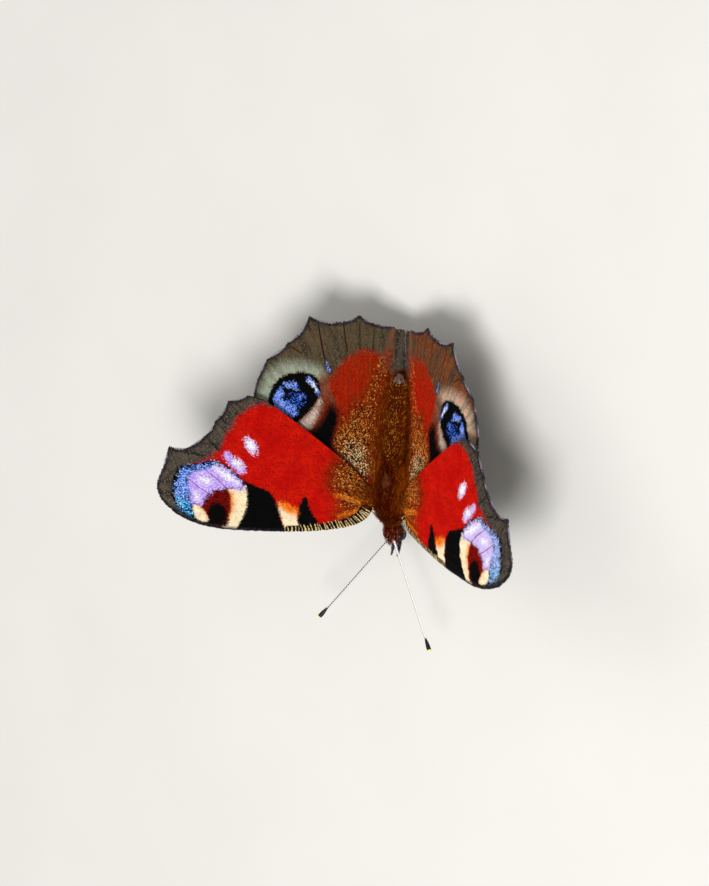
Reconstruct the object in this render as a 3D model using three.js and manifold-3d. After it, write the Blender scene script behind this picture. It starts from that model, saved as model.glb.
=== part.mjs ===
// Peacock butterfly at life size, standing on the floor with its wings spread in a shallow V.
// Millimetres, +Z up, +Y towards the head, +X towards its right wings.
// Inside the insect group the height 0 is the hinge line of the forewings, and y 0 is their costal root.
import * as THREE from "three";
import { mergeVertices } from "three/addons/utils/BufferGeometryUtils.js";
import Module from "manifold-3d";

const wasm = await Module();
wasm.setup();

// Driving dimensions
const HINGE_HEIGHT = 7.8; // of the forewing hinge above the floor
const HINGE_HALF = 1.7; // from the midline to the hinge
const GAP = 0.3; // left between pieces that touch
const MEMBRANE = 0.5; // thickness of a wing between its veins
const VEIN_RAISE = 0.14; // of a vein's crest over each face
const VEIN_HALF = 0.4; // half the foot of a vein's ridge
const RAD = Math.PI / 180;
// Spacing of the points in a wing's net, and the box in u and v that its fill covers
const NET = { veinStep: 1.25, fillStep: 2.3, jitter: 0.1, seed: 7, inner: 2, wide: 34, frontV: 5, deep: 33 };

// Wing coordinates are u, out from the hinge along the wing, and v, forward along the body.
const FORE = {
  tilt: 27.6 * RAD,
  drop: 0,
  span: 31,
  camber: 0.35,
  droop: { depth: 1.7, endU: 22, startV: -2, width: 5.5 }, // the front edge curls down, most at the root
  costa: [
    [0.7, -0.3], [1.7, 1.2], [4.2, 2.65], [9, 3.65], [16, 4.15], [22.5, 4], [27, 2.9], [29.8, 0.9],
    [30.7, -0.9],
  ],
  costaSteps: 20,
  teeth: [
    [30.7, -0.9], [30.2, -3.3], [29.3, -6.9], [26.6, -6.95], [24.1, -8.9], [22.7, -11.1], [21.1, -14],
    [18.2, -15],
  ],
  sags: [-0.06, 0.04, 0.13, 0.06, 0.08, 0.08, 0.07],
  inner: [[18.2, -15], [15.3, -14.1], [11.2, -11.5], [7, -8.5], [3.6, -5.9], [1.4, -3.4], [0.7, -2.6]],
  innerSteps: 13,
  veins: [
    [[1.5, -0.2], [4.5, 1.2], [8, 2.3], [12, 3.1], [15.2, 3.7]],
    [[1.5, -0.8], [6, 0.6], [11, 1.7], [16, 2.6], [20.5, 3.1], [24.5, 3.2]],
    [[15.2, 2.4], [19, 2.2], [23, 1.4], [27, -0.4], [29.9, -3.1]],
    [[14.6, 1.1], [19, 0.8], [22.8, -0.5], [26.5, -3.1], [29.1, -6.3]],
    [[14.9, 0], [17.5, -0.6], [20.2, -1.8], [23.5, -4.1], [26.4, -6.5]],
    [[1.4, -1.4], [5, -1.9], [9, -2.5], [13.6, -2.2], [17, -2.7], [20.2, -4.7], [22.4, -6.9], [23.8, -8.6]],
    [[11.4, -2.9], [15, -4.6], [19, -7.5], [22.4, -10.8]],
    [[7.6, -2.9], [12, -5.6], [17, -9.9], [20.8, -13.6]],
    [[1.4, -2.1], [5, -4.8], [10, -8.7], [14.5, -12.1], [17.8, -14.5]],
  ],
};
const HIND = {
  tilt: 26 * RAD,
  drop: 1.18,
  span: 20,
  camber: 0.35,
  costa: [[0.9, -2.8], [2.5, -3], [7, -4.7], [12, -7.3], [16, -10], [18, -12.4], [18.4, -14.4]],
  costaSteps: 14,
  teeth: [
    [18.4, -14.4], [17.8, -17.4], [16.8, -19.9], [13.9, -22.4], [11.1, -26.4], [6.4, -25.95], [4.3, -27],
    [2.2, -25.9], [0.2, -25.7],
  ],
  sags: [-0.05, 0.02, 0.07, 0.1, 0.11, 0.09, 0.08, 0.04],
  veins: [
    [[1.6, -3.7], [7, -5.9], [13, -9.2], [17.9, -13.6]],
    [[1.6, -4.3], [6, -7.3], [12, -12], [17.3, -16.9]],
    [[6.4, -8.2], [9, -11.8], [13, -16.2], [16.4, -19.4]],
    [[6.4, -10], [10.4, -15.8], [13.6, -21.9]],
    [[6.1, -11.3], [8.3, -18.5], [9.4, -22.6], [10.8, -25.8]],
    [[1.5, -4.9], [3.7, -9.3], [5, -12], [5.7, -18.5], [6.3, -25.4]],
    [[3.4, -10.5], [4, -18], [4.3, -26.4]],
    [[1.3, -5.6], [2.3, -10], [2.4, -18], [2.3, -25.3]],
  ],
};
// The inner part of a hindwing turns down beside the abdomen, from a crease to its inner edge. Fractions here
// and in the abdomen run from the front to the rear.
const CREASE = {
  front: -7, rear: -26, uFront: 2.05, uRear: -0.25, curve: 2.2,
  bendFront: 78 * RAD, bendRear: 50 * RAD, bendFrom: 0.35, bendOver: 0.5,
};
const INNER_EDGE = {
  root: [0.9, -5.4], startV: -6.6, endV: -25.2, steps: 14, rear: 0.42,
  beside: 0.58, besideFrom: 0.6, besideOver: 0.25,
};

const THORAX = { y: -2.7, z: -1.05, halfLength: 4.4, halfWidth: 2.7, halfHeight: 2.3 };
const ABDOMEN = {
  front: -6.2, tip: -19.3, zFront: -0.7, zTip: -1.5, radius: 1.62, waist: 1.25, swellOver: 0.35,
  taperFrom: 0.42, taper: 2.2, flat: 0.95, segments: 8, ringsEach: 3, groove: 0.1,
};
const HEAD = { y: 3, z: -1.9, halfLength: 1.7, halfWidth: 1.2, halfHeight: 1.25 };
const EYE = { x: 1.02, y: 3.4, z: -1.9, radius: 0.68 };
const PALP = { rootRadius: 0.42, tipRadius: 0.27, root: [0.46, 4.2, -2.6], tip: [0.52, 6.5, -2.4] };
const PROBOSCIS = {
  root: [0, 3.2, -2.2], y: 3.95, z: -4.3, outer: 0.74, turns: 0.95, pitch: 0.62, coilSteps: 14,
  thick: 0.5, steps: 24,
};
const ANTENNA = {
  shaft: 0.25, club: 0.46, clubLength: 2.3, rootRadius: 0.34, rootLength: 0.6, root: [0.43, 4.03, -1.18],
  tips: { right: [9.4, 16.5, 1.9], left: [9.4, 17.6, 1.9] },
};
const LEGS = {
  mid: { hip: [0.9, -1.6, -2.6], knee: [4.7, 0.3, -2.5], foot: [7.3, 2], toe: [9.6, 3.9] },
  hind: { hip: [0.9, -4.2, -2.4], knee: [4.5, -6.9, -2.6], foot: [6.9, -10.2], toe: [8.3, -13.2] },
};
const LEG = {
  hip: 0.5, knee: 0.32, ankle: 0.27, footHeight: 0.5, footWidth: 0.62, toeWidth: 0.5, heel: 0.3,
  beads: 5, stepsEach: 3, waist: 0.82,
};
const FORELEG = { hip: [1, 0.1, -2.5], knee: [1.5, 2.7, -3.5], hipRadius: 0.42, kneeRadius: 0.28 };

const COLOURS = {
  red: 0xb3190d, brown: 0x6a3a1c, dark: 0x2b211c, eye: 0x2a1712, shaft: 0x3a332e, leg: 0x57402c,
};
const ROUGH = { wing: 0.7, hair: 0.9, eye: 0.25, horn: 0.45 };
const SIDES = { thorax: 20, abdomen: 18, head: 16, eye: 14, limb: 10 }; // facets round each body

const clamp = (x, low = 0, high = 1) => Math.min(high, Math.max(low, x));
const mix = (a, b, t) => a + (b - a) * t;
const smooth = (t) => clamp(t) * clamp(t) * (3 - 2 * clamp(t));

// Solids: a closed geometry becomes a manifold and back
function solidOf(geometry) {
  const bare = geometry.clone();
  bare.deleteAttribute("normal");
  bare.deleteAttribute("uv");
  const merged = mergeVertices(bare, 1e-4);
  return new wasm.Manifold(new wasm.Mesh({
    numProp: 3,
    vertProperties: merged.attributes.position.array,
    triVerts: new Uint32Array(merged.index.array),
  }));
}

function geometryOf(solid) {
  const largest = solid.decompose().reduce((a, b) => (b.volume() > a.volume() ? b : a));
  const mesh = largest.getMesh();
  const geometry = new THREE.BufferGeometry();
  geometry.setAttribute("position", new THREE.BufferAttribute(mesh.vertProperties, 3));
  geometry.setIndex(new THREE.BufferAttribute(mesh.triVerts, 1));
  geometry.computeVertexNormals();
  return geometry;
}

// What is left of a geometry outside the others
function cutAway(geometry, ...others) {
  return geometryOf(others.reduce((left, other) => left.subtract(solidOf(other)), solidOf(geometry)));
}

// Each point of a geometry is changed by move
function reshape(geometry, move) {
  const at = geometry.attributes.position;
  const p = new THREE.Vector3();
  for (let i = 0; i < at.count; i++) {
    move(p.fromBufferAttribute(at, i));
    at.setXYZ(i, p.x, p.y, p.z);
  }
  return geometry;
}

// A body turned about its own length: profile holds [distance along, radius] from one end to the other.
function turned(profile, sides) {
  const points = profile.map(([along, radius]) => new THREE.Vector2(radius, along));
  return new THREE.LatheGeometry(points, sides);
}

// An egg along the body, widened by grow on every side, with ends blunter than a ball's where blunt is over 2
function egg({ y, z, halfLength, halfWidth, halfHeight }, sides, blunt, grow) {
  const rings = Math.round(sides * 0.7);
  const profile = [];
  for (let i = 0; i <= rings; i++) {
    const along = -Math.cos((Math.PI * i) / rings);
    const radius = i % rings === 0 ? 0 : (1 - Math.abs(along) ** blunt) ** (1 / blunt);
    profile.push([along * (halfLength + grow), radius]);
  }
  const widen = (p) => p.set(p.x * (halfWidth + grow), p.y + y, p.z * (halfHeight + grow) + z);
  return reshape(turned(profile, sides), widen);
}

// A body turned about +Y from the origin is laid along axis from a point
function laid(geometry, from, axis) {
  const up = new THREE.Vector3(0, 1, 0);
  const turn = new THREE.Quaternion().setFromUnitVectors(up, axis.clone().normalize());
  return geometry.applyQuaternion(turn).translate(from.x, from.y, from.z);
}

// A round limb whose end balls have their centres at a and b
function limb(a, b, ra, rb) {
  const from = new THREE.Vector3(...a);
  const axis = new THREE.Vector3(...b).sub(from);
  const length = axis.length();
  const profile = [
    [-ra, 0], [-ra * 0.6, ra * 0.8], [0, ra], [length, rb], [length + rb * 0.6, rb * 0.8], [length + rb, 0],
  ];
  return laid(turned(profile, SIDES.limb), from, axis);
}

// The plane of a wing, arched a little, at u and v
function onPlane(wing, u, v) {
  const arch = wing.camber * Math.sin(Math.PI * clamp(u / wing.span));
  const z = u * Math.sin(wing.tilt) + arch - wing.drop;
  return new THREE.Vector3(HINGE_HALF + u * Math.cos(wing.tilt), v, z);
}

// The middle surface of a forewing, whose front edge droops
function foreSurface(u, v) {
  const p = onPlane(FORE, u, v);
  const { depth, endU, startV, width } = FORE.droop;
  p.z -= depth * (1 - clamp(u / endU) ** 2) * clamp((v - startV) / width) ** 2;
  return p;
}

// Half the abdomen's width at y
function abdomenHalf(y) {
  const t = clamp((ABDOMEN.front - y) / (ABDOMEN.front - ABDOMEN.tip));
  const swell = mix(ABDOMEN.waist, ABDOMEN.radius, smooth(t / ABDOMEN.swellOver));
  return swell * Math.sqrt(1 - clamp((t - ABDOMEN.taperFrom) / (1 - ABDOMEN.taperFrom)) ** ABDOMEN.taper);
}

// Where the hindwing's crease lies at v, and the arc down from it that ends beside the abdomen
function crease(v) {
  const t = clamp((CREASE.front - v) / (CREASE.front - CREASE.rear));
  const u = mix(CREASE.uFront, CREASE.uRear, t ** CREASE.curve);
  const bend = mix(CREASE.bendFront, CREASE.bendRear, smooth((t - CREASE.bendFrom) / CREASE.bendOver));
  const beside = INNER_EDGE.beside * (1 - smooth((t - INNER_EDGE.besideFrom) / INNER_EDGE.besideOver));
  const edgeX = Math.max(INNER_EDGE.rear, abdomenHalf(v) + beside);
  const radius = (onPlane(HIND, u, v).x - edgeX) / (Math.sin(bend) - Math.sin(HIND.tilt));
  return { u, radius, width: radius * (bend - HIND.tilt) };
}

// The middle surface of a hindwing, whose inner part turns down past its crease
function hindSurface(u, v) {
  const fold = crease(v);
  const p = onPlane(HIND, Math.max(u, fold.u), v);
  if (u < fold.u) {
    const angle = HIND.tilt + (fold.u - u) / fold.radius;
    p.x -= fold.radius * (Math.sin(angle) - Math.sin(HIND.tilt));
    p.z -= fold.radius * (Math.cos(HIND.tilt) - Math.cos(angle));
  }
  return p;
}

function spline(points, steps) {
  const curve = new THREE.SplineCurve(points.map(([u, v]) => new THREE.Vector2(u, v)));
  return curve.getSpacedPoints(steps);
}

// From tooth to tooth the margin sags inward, by a share of the way between them
function scallops(teeth, sags) {
  const steps = 4;
  const points = [];
  teeth.slice(0, -1).forEach((tooth, i) => {
    const a = new THREE.Vector2(...tooth);
    const b = new THREE.Vector2(...teeth[i + 1]);
    const inward = new THREE.Vector2(b.y - a.y, a.x - b.x).multiplyScalar(sags[i]);
    for (let k = 0; k < steps; k++) {
      const t = k / steps;
      points.push(a.clone().lerp(b, t).addScaledVector(inward, 4 * t * (1 - t)));
    }
  });
  return points;
}

// An outline in u and v is the costa, the toothed outer margin, then the inner edge back to the root
function foreOutline() {
  const costa = spline(FORE.costa, FORE.costaSteps).slice(0, -1);
  return [...costa, ...scallops(FORE.teeth, FORE.sags), ...spline(FORE.inner, FORE.innerSteps)];
}

function hindOutline() {
  const costa = spline(HIND.costa, HIND.costaSteps).slice(0, -1);
  const inner = [];
  for (let i = 0; i <= INNER_EDGE.steps; i++) {
    const v = mix(INNER_EDGE.endV, INNER_EDGE.startV, i / INNER_EDGE.steps);
    const fold = crease(v);
    inner.push(new THREE.Vector2(fold.u - fold.width, v));
  }
  return [...costa, ...scallops(HIND.teeth, HIND.sags), ...inner, new THREE.Vector2(...INNER_EDGE.root)];
}

// Delaunay triangles of points, by adding them one at a time
function triangulate(points) {
  const far = 1e3;
  const around = [new THREE.Vector2(-far, -far), new THREE.Vector2(far, -far), new THREE.Vector2(0, far)];
  const all = [...points, ...around];
  const round = (a, b, c) => {
    const [p, q, r] = [all[a], all[b], all[c]];
    const d = 2 * (p.x * (q.y - r.y) + q.x * (r.y - p.y) + r.x * (p.y - q.y));
    const [pp, qq, rr] = [p.lengthSq(), q.lengthSq(), r.lengthSq()];
    const x = (pp * (q.y - r.y) + qq * (r.y - p.y) + rr * (p.y - q.y)) / d;
    const y = (pp * (r.x - q.x) + qq * (p.x - r.x) + rr * (q.x - p.x)) / d;
    return { corners: [a, b, c], x, y, reach: (p.x - x) ** 2 + (p.y - y) ** 2 };
  };
  let triangles = [round(points.length, points.length + 1, points.length + 2)];
  points.forEach((p, i) => {
    const edges = new Map();
    triangles = triangles.filter((t) => {
      if ((p.x - t.x) ** 2 + (p.y - t.y) ** 2 >= t.reach) return true;
      t.corners.forEach((a, k) => {
        const b = t.corners[(k + 1) % 3];
        if (!edges.delete(b + "," + a)) edges.set(a + "," + b, [a, b]);
      });
      return false;
    });
    for (const [a, b] of edges.values()) triangles.push(round(a, b, i));
  });
  return triangles.map((t) => t.corners).filter((t) => t.every((i) => i < points.length));
}

// Whether a point lies inside the outline, by the sides that a ray from it crosses
function inside(outline, { x, y }) {
  let hit = false;
  outline.forEach((a, i) => {
    const b = outline[(i + 1) % outline.length];
    if (a.y > y !== b.y > y && x < a.x + ((y - a.y) * (b.x - a.x)) / (b.y - a.y)) hit = !hit;
  });
  return hit;
}

// The points of a wing's net: its outline, its veins with a foot on each side, and a sparse fill
function wingNet(outline, veins) {
  const points = outline.map((p) => p.clone());
  const clearOf = (p, room) => points.every((other) => other.distanceTo(p) > room);
  const place = (p, room) => inside(outline, p) && clearOf(p, room) && points.push(p) > 0;
  const feet = [];
  for (const vein of veins) {
    const curve = new THREE.SplineCurve(vein.map(([u, v]) => new THREE.Vector2(u, v)));
    const steps = Math.round(curve.getLength() / NET.veinStep);
    for (let k = 0; k <= steps; k++) {
      const crest = curve.getPointAt(k / steps);
      const across = curve.getTangentAt(k / steps).rotateAround(new THREE.Vector2(), Math.PI / 2);
      if (!place(crest, VEIN_HALF * 0.9)) continue;
      for (const side of [-1, 1]) feet.push(crest.clone().addScaledVector(across, side * VEIN_HALF));
    }
  }
  const crests = { from: outline.length, to: points.length };
  feet.forEach((foot) => place(foot, VEIN_HALF * 0.8));
  const random = lehmer(NET.seed);
  const row = NET.fillStep * Math.sin(Math.PI / 3);
  for (let j = 0; j * row < NET.deep; j++) {
    for (let i = 0; i * NET.fillStep < NET.wide; i++) {
      const u = (i + (j % 2) / 2) * NET.fillStep + NET.jitter * random();
      const v = NET.frontV - j * row + NET.jitter * random();
      place(new THREE.Vector2(u - NET.inner, v), NET.fillStep / 2);
    }
  }
  return { points, crests };
}

// Seeded random numbers from 0 to 1
function lehmer(seed) {
  let state = seed;
  return () => (state = (state * 48271) % 2147483647) / 2147483647;
}

// A closed plate on a wing's middle surface, with the same triangles on both faces
function wingPlate(surface, outline, veins) {
  const { points, crests } = wingNet(outline, veins);
  const centre = ([a, b, c]) => points[a].clone().add(points[b]).add(points[c]).divideScalar(3);
  const faces = triangulate(points).filter((t) => inside(outline, centre(t)));
  const count = points.length;
  const positions = new Float32Array(count * 6);
  const step = 0.05;
  points.forEach(({ x: u, y: v }, i) => {
    const p = surface(u, v);
    const alongU = surface(u + step, v).sub(surface(u - step, v));
    const alongV = surface(u, v + step).sub(surface(u, v - step));
    const normal = alongU.cross(alongV).normalize();
    const half = MEMBRANE / 2 + (i >= crests.from && i < crests.to ? VEIN_RAISE : 0);
    p.clone().addScaledVector(normal, half).toArray(positions, i * 3);
    p.clone().addScaledVector(normal, -half).toArray(positions, (i + count) * 3);
  });
  const index = [];
  const rim = new Map();
  for (const [i, j, k] of faces) {
    const turn = points[j].clone().sub(points[i]).cross(points[k].clone().sub(points[i]));
    const face = turn > 0 ? [i, j, k] : [i, k, j];
    index.push(...face, face[0] + count, face[2] + count, face[1] + count);
    face.forEach((a, n) => {
      const b = face[(n + 1) % 3];
      if (!rim.delete(b + "," + a)) rim.set(a + "," + b, [a, b]);
    });
  }
  for (const [a, b] of rim.values()) index.push(b, a, a + count, b, a + count, b + count);
  const geometry = new THREE.BufferGeometry();
  geometry.setAttribute("position", new THREE.BufferAttribute(positions, 3));
  geometry.setIndex(index);
  return geometry;
}

// The abdomen tapers to the rear and has a groove between its segments
function abdomen(grow) {
  const length = ABDOMEN.front - ABDOMEN.tip;
  const rings = ABDOMEN.segments * ABDOMEN.ringsEach;
  const profile = [[ABDOMEN.tip - grow, 0]];
  for (let i = 1; i < rings; i++) {
    const y = ABDOMEN.tip + (length * i) / rings;
    const groove = i % ABDOMEN.ringsEach === 0 && !grow ? ABDOMEN.groove : 0;
    profile.push([y, abdomenHalf(y) + grow - groove]);
  }
  profile.push([ABDOMEN.front, ABDOMEN.waist + grow], [ABDOMEN.front + grow, 0]);
  return reshape(turned(profile, SIDES.abdomen), (p) => {
    const t = clamp((ABDOMEN.front - p.y) / length);
    p.z = p.z * ABDOMEN.flat + mix(ABDOMEN.zFront, ABDOMEN.zTip, t * t);
  });
}

const thorax = (grow) => egg(THORAX, SIDES.thorax, 2.2, grow);
const head = (grow) => egg(HEAD, SIDES.head, 2, grow);

function eye(sign, grow) {
  const ball = new THREE.SphereGeometry(EYE.radius + grow, SIDES.eye, SIDES.limb);
  return ball.translate(sign * EYE.x, EYE.y, EYE.z);
}

// A stem down from the head that coils forward under it, in the plane of symmetry
function proboscis() {
  const points = [new THREE.Vector3(...PROBOSCIS.root)];
  for (let i = 0; i <= PROBOSCIS.coilSteps; i++) {
    const turn = (i / PROBOSCIS.coilSteps) * PROBOSCIS.turns;
    const r = PROBOSCIS.outer - PROBOSCIS.pitch * turn;
    const angle = Math.PI * (1 + 2 * turn);
    points.push(new THREE.Vector3(0, PROBOSCIS.y + r * Math.cos(angle), PROBOSCIS.z + r * Math.sin(angle)));
  }
  const section = new THREE.Shape().absarc(0, 0, PROBOSCIS.thick / 2, 0, 2 * Math.PI);
  const path = new THREE.CatmullRomCurve3(points);
  return new THREE.ExtrudeGeometry(section, { extrudePath: path, steps: PROBOSCIS.steps, curveSegments: 4 });
}

// A straight shaft from a thicker root, with a club whose shape is in shares of its length and radius
function antenna(tip) {
  const { shaft, club, clubLength, rootRadius, rootLength } = ANTENNA;
  const from = new THREE.Vector3(...ANTENNA.root);
  const axis = new THREE.Vector3(...tip).sub(from);
  const swell = axis.length() - clubLength;
  const bulb = [[0, shaft / club], [0.25, 0.85], [0.6, 1], [0.85, 0.9], [0.96, 0.5], [1, 0]];
  const profile = [
    [0, 0], [0, rootRadius], [rootLength, rootRadius], [rootLength + rootRadius / 2, shaft],
    ...bulb.map(([along, radius]) => [swell + along * clubLength, radius * club]),
  ];
  return laid(turned(profile, SIDES.limb), from, axis);
}

// A foot lies flat on the floor: a beaded outline that narrows to the toe, raised by its height
function footBar({ foot, toe }) {
  const heel = new THREE.Vector2(...foot);
  const along = new THREE.Vector2(...toe).sub(heel);
  const steps = LEG.beads * LEG.stepsEach;
  const edge = [];
  for (let i = 0; i <= steps; i++) {
    const half = mix(LEG.footWidth, LEG.toeWidth, i / steps) / 2;
    const waist = i % LEG.stepsEach === 0 ? LEG.waist : 1;
    edge.push(new THREE.Vector2(mix(-LEG.heel, along.length(), i / steps), half * waist));
  }
  const mirrored = edge.map((p) => new THREE.Vector2(p.x, -p.y)).reverse();
  const shape = new THREE.Shape([...edge, ...mirrored]);
  const bar = new THREE.ExtrudeGeometry(shape, { depth: LEG.footHeight, bevelEnabled: false });
  return bar.rotateZ(along.angle()).translate(heel.x, heel.y, -HINGE_HEIGHT);
}

// The shin starts clear of the knee and ends clear of the foot below it
function tibia({ knee, foot }) {
  const ankle = new THREE.Vector3(...foot, LEG.footHeight + GAP + LEG.ankle - HINGE_HEIGHT);
  const from = new THREE.Vector3(...knee);
  const shin = ankle.clone().sub(from).normalize();
  from.addScaledVector(shin, 2 * LEG.knee + GAP);
  return limb(from.toArray(), ankle.toArray(), LEG.knee, LEG.ankle);
}

// The insect, with each left piece the mirror image of the right one
const insect = new THREE.Group();

function add(name, geometry, color, roughness, sign = 1) {
  const mesh = new THREE.Mesh(geometry, new THREE.MeshStandardMaterial({ color, roughness, metalness: 0 }));
  mesh.name = name;
  mesh.scale.x = sign;
  insect.add(mesh);
}

function addBody() {
  add("thorax", thorax(0), COLOURS.brown, ROUGH.hair);
  add("abdomen", cutAway(abdomen(0), thorax(GAP)), COLOURS.dark, ROUGH.hair);
  add("head", cutAway(head(0), thorax(GAP), eye(1, GAP), eye(-1, GAP)), COLOURS.brown, ROUGH.hair);
  add("proboscis", cutAway(proboscis(), head(GAP)), COLOURS.dark, ROUGH.horn);
}

function addFace(side, sign) {
  add("eye_" + side, geometryOf(solidOf(eye(1, 0))), COLOURS.eye, ROUGH.eye, sign);
  const palp = limb(PALP.root, PALP.tip, PALP.rootRadius, PALP.tipRadius);
  add("palp_" + side, cutAway(palp, head(GAP)), COLOURS.brown, ROUGH.hair, sign);
  const feeler = cutAway(antenna(ANTENNA.tips[side]), head(GAP), eye(1, GAP));
  add("antenna_" + side, feeler, COLOURS.shaft, ROUGH.horn, sign);
}

function addWings(side, sign) {
  const fore = wingPlate(foreSurface, foreOutline(), FORE.veins);
  const hind = wingPlate(hindSurface, hindOutline(), HIND.veins);
  add("forewing_" + side, cutAway(fore, thorax(GAP)), COLOURS.red, ROUGH.wing, sign);
  add("hindwing_" + side, cutAway(hind, thorax(GAP), abdomen(GAP)), COLOURS.red, ROUGH.wing, sign);
}

function addLegs(side, sign) {
  const folded = limb(FORELEG.hip, FORELEG.knee, FORELEG.hipRadius, FORELEG.kneeRadius);
  add("foreleg_" + side, cutAway(folded, thorax(GAP), head(GAP)), COLOURS.leg, ROUGH.hair, sign);
  for (const [place, leg] of Object.entries(LEGS)) {
    const name = place + "_leg_" + side + "_";
    const femur = limb(leg.hip, leg.knee, LEG.hip, LEG.knee);
    add(name + "femur", cutAway(femur, thorax(GAP)), COLOURS.dark, ROUGH.horn, sign);
    add(name + "tibia", tibia(leg), COLOURS.leg, ROUGH.horn, sign);
    add(name + "foot", footBar(leg), COLOURS.leg, ROUGH.horn, sign);
  }
}

addBody();
for (const [side, sign] of [["right", 1], ["left", -1]]) {
  addFace(side, sign);
  addWings(side, sign);
  addLegs(side, sign);
}

// The origin is on the floor, in the middle of the part's box
insect.position.z = HINGE_HEIGHT;
const reach = new THREE.Box3().setFromObject(insect);
insect.position.y = -(reach.min.y + reach.max.y) / 2;

const butterfly = new THREE.Group();
butterfly.add(insect);
export default butterfly;
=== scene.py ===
"""Peacock butterfly at life size: its skin, coat of scales and hair, floor, lights and camera.

Lengths are millimetres in the insect's own frame: y 0 is at the front root of the forewings, height 0 at
their hinge, +X towards its right wings and +Y towards its head. A mesh is turned to the metres of the
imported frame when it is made. Right-hand pieces are built, and the left ones are their mirror images.
"""

import logging
import math
from collections.abc import Callable, Sequence
from dataclasses import KW_ONLY, dataclass, field, replace
from enum import Enum
from functools import cached_property, partial
from typing import ClassVar

import bpy
import numpy as np
from mathutils import Matrix, Vector
from mathutils.geometry import delaunay_2d_cdt


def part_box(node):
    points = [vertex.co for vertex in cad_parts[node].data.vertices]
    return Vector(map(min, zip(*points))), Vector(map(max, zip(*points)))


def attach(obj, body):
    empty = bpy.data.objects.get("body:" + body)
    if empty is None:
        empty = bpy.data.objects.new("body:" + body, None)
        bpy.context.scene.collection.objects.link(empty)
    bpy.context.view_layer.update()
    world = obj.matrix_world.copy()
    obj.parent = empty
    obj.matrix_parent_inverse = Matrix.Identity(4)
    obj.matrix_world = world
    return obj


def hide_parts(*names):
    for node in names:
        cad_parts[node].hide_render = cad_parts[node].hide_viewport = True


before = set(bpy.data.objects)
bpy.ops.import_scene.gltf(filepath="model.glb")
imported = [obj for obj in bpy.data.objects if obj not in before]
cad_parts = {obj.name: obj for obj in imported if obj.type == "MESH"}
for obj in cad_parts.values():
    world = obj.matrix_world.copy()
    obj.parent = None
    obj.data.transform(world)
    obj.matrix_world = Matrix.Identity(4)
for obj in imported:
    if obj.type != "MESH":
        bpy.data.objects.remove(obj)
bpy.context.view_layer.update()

Array = np.ndarray
Place = tuple[float, ...]
Places = tuple[Place, ...]
Socket = bpy.types.NodeSocket
AddNode = Callable[..., Socket]
Inputs = dict | Sequence
Rng = np.random.Generator

log = logging.getLogger("butterfly")

MM = 0.001
HINGE_HEIGHT = 7.8  # of the forewing hinge above the floor
HINGE_HALF = 1.7  # from the midline to the hinge
UV_PATCH = 0.003  # width of one tuft or scale on its skin's unwrap


def unit(vectors: Array) -> Array:
    """Vectors of length 1."""
    return vectors / np.maximum(np.linalg.norm(vectors, axis=-1, keepdims=True), 1e-9)


def smooth(share: Array | float) -> Array:
    """A soft step from 0 to 1 while share goes from 0 to 1."""
    held = np.clip(share, 0, 1)
    return held * held * (3 - 2 * held)


def lengths(path: Array) -> Array:
    """How far along a path each of its points is."""
    return np.concatenate([[0], np.cumsum(np.linalg.norm(np.diff(path, axis=0), axis=1))])


def places_along(path: Array, wanted: Array) -> Array:
    """The places at the wanted lengths along a path."""
    length = lengths(path)
    return np.column_stack([np.interp(wanted, length, axis) for axis in path.T])


def turned(ways: Array) -> Array:
    """Ways in u and v, turned a quarter to the left."""
    return np.column_stack([-ways[:, 1], ways[:, 0]])


def curve_through(points: Sequence[Place], steps: int, closed: bool = False) -> Array:
    """Evenly spaced places on a soft curve through points.

    Args:
        points: the knots, of two or three coordinates each.
        steps: spaces between the places that are returned.
        closed: whether the curve joins up with its start.

    Returns:
        steps + 1 places, or steps of them on a closed curve.
    """
    knots = np.asarray(points, float)
    count = len(knots)
    spans = count if closed else count - 1
    fine = 24
    t = np.arange(spans * fine + 1) / fine
    span = np.minimum(t.astype(int), spans - 1)
    s = (t - span)[:, None]
    before, start, end, after = (
        knots[(span + k) % count if closed else np.clip(span + k, 0, count - 1)] for k in (-1, 0, 1, 2)
    )
    leave = (end - before) / 2
    arrive = (after - start) / 2
    cubic = 2 * start - 2 * end + leave + arrive
    square = -3 * start + 3 * end - 2 * leave - arrive
    curve = cubic * s**3 + square * s**2 + leave * s + start
    spaced = places_along(curve, np.linspace(0, lengths(curve)[-1], steps + 1))
    return spaced[:-1] if closed else spaced


def depth_of_line(at: Array, line: Array, half: float, end_half: float) -> Array:
    """How deep places lie inside a line that has a width.

    Args:
        at: places in u and v.
        line: the points of the line.
        half: half its width at the start.
        end_half: half its width at the end.

    Returns:
        The depth of each place in mm, negative outside the line.
    """
    halves = np.linspace(half, end_half, len(line))
    deepest = np.full(len(at), -np.inf)
    for start, end, from_half, to_half in zip(line[:-1], line[1:], halves[:-1], halves[1:]):
        along = end - start
        t = np.clip(((at - start) @ along) / max(along @ along, 1e-12), 0, 1)
        away = np.hypot(*(at - start - t[:, None] * along).T)
        deepest = np.maximum(deepest, from_half + (to_half - from_half) * t - away)
    return deepest


def depth_inside(at: Array, outline: Array) -> Array:
    """How deep places lie inside a closed outline.

    Args:
        at: places in u and v.
        outline: the corners of the outline, in order.

    Returns:
        The depth of each place in mm, negative outside.
    """
    inside = np.zeros(len(at), bool)
    for a, b in zip(outline, np.roll(outline, -1, axis=0)):
        if a[1] != b[1]:
            level = (a[1] > at[:, 1]) != (b[1] > at[:, 1])
            inside ^= level & (at[:, 0] < a[0] + (at[:, 1] - a[1]) * (b[0] - a[0]) / (b[1] - a[1]))
    away = -depth_of_line(at, np.vstack([outline, outline[:1]]), 0, 0)
    return np.where(inside, away, -away)


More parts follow.
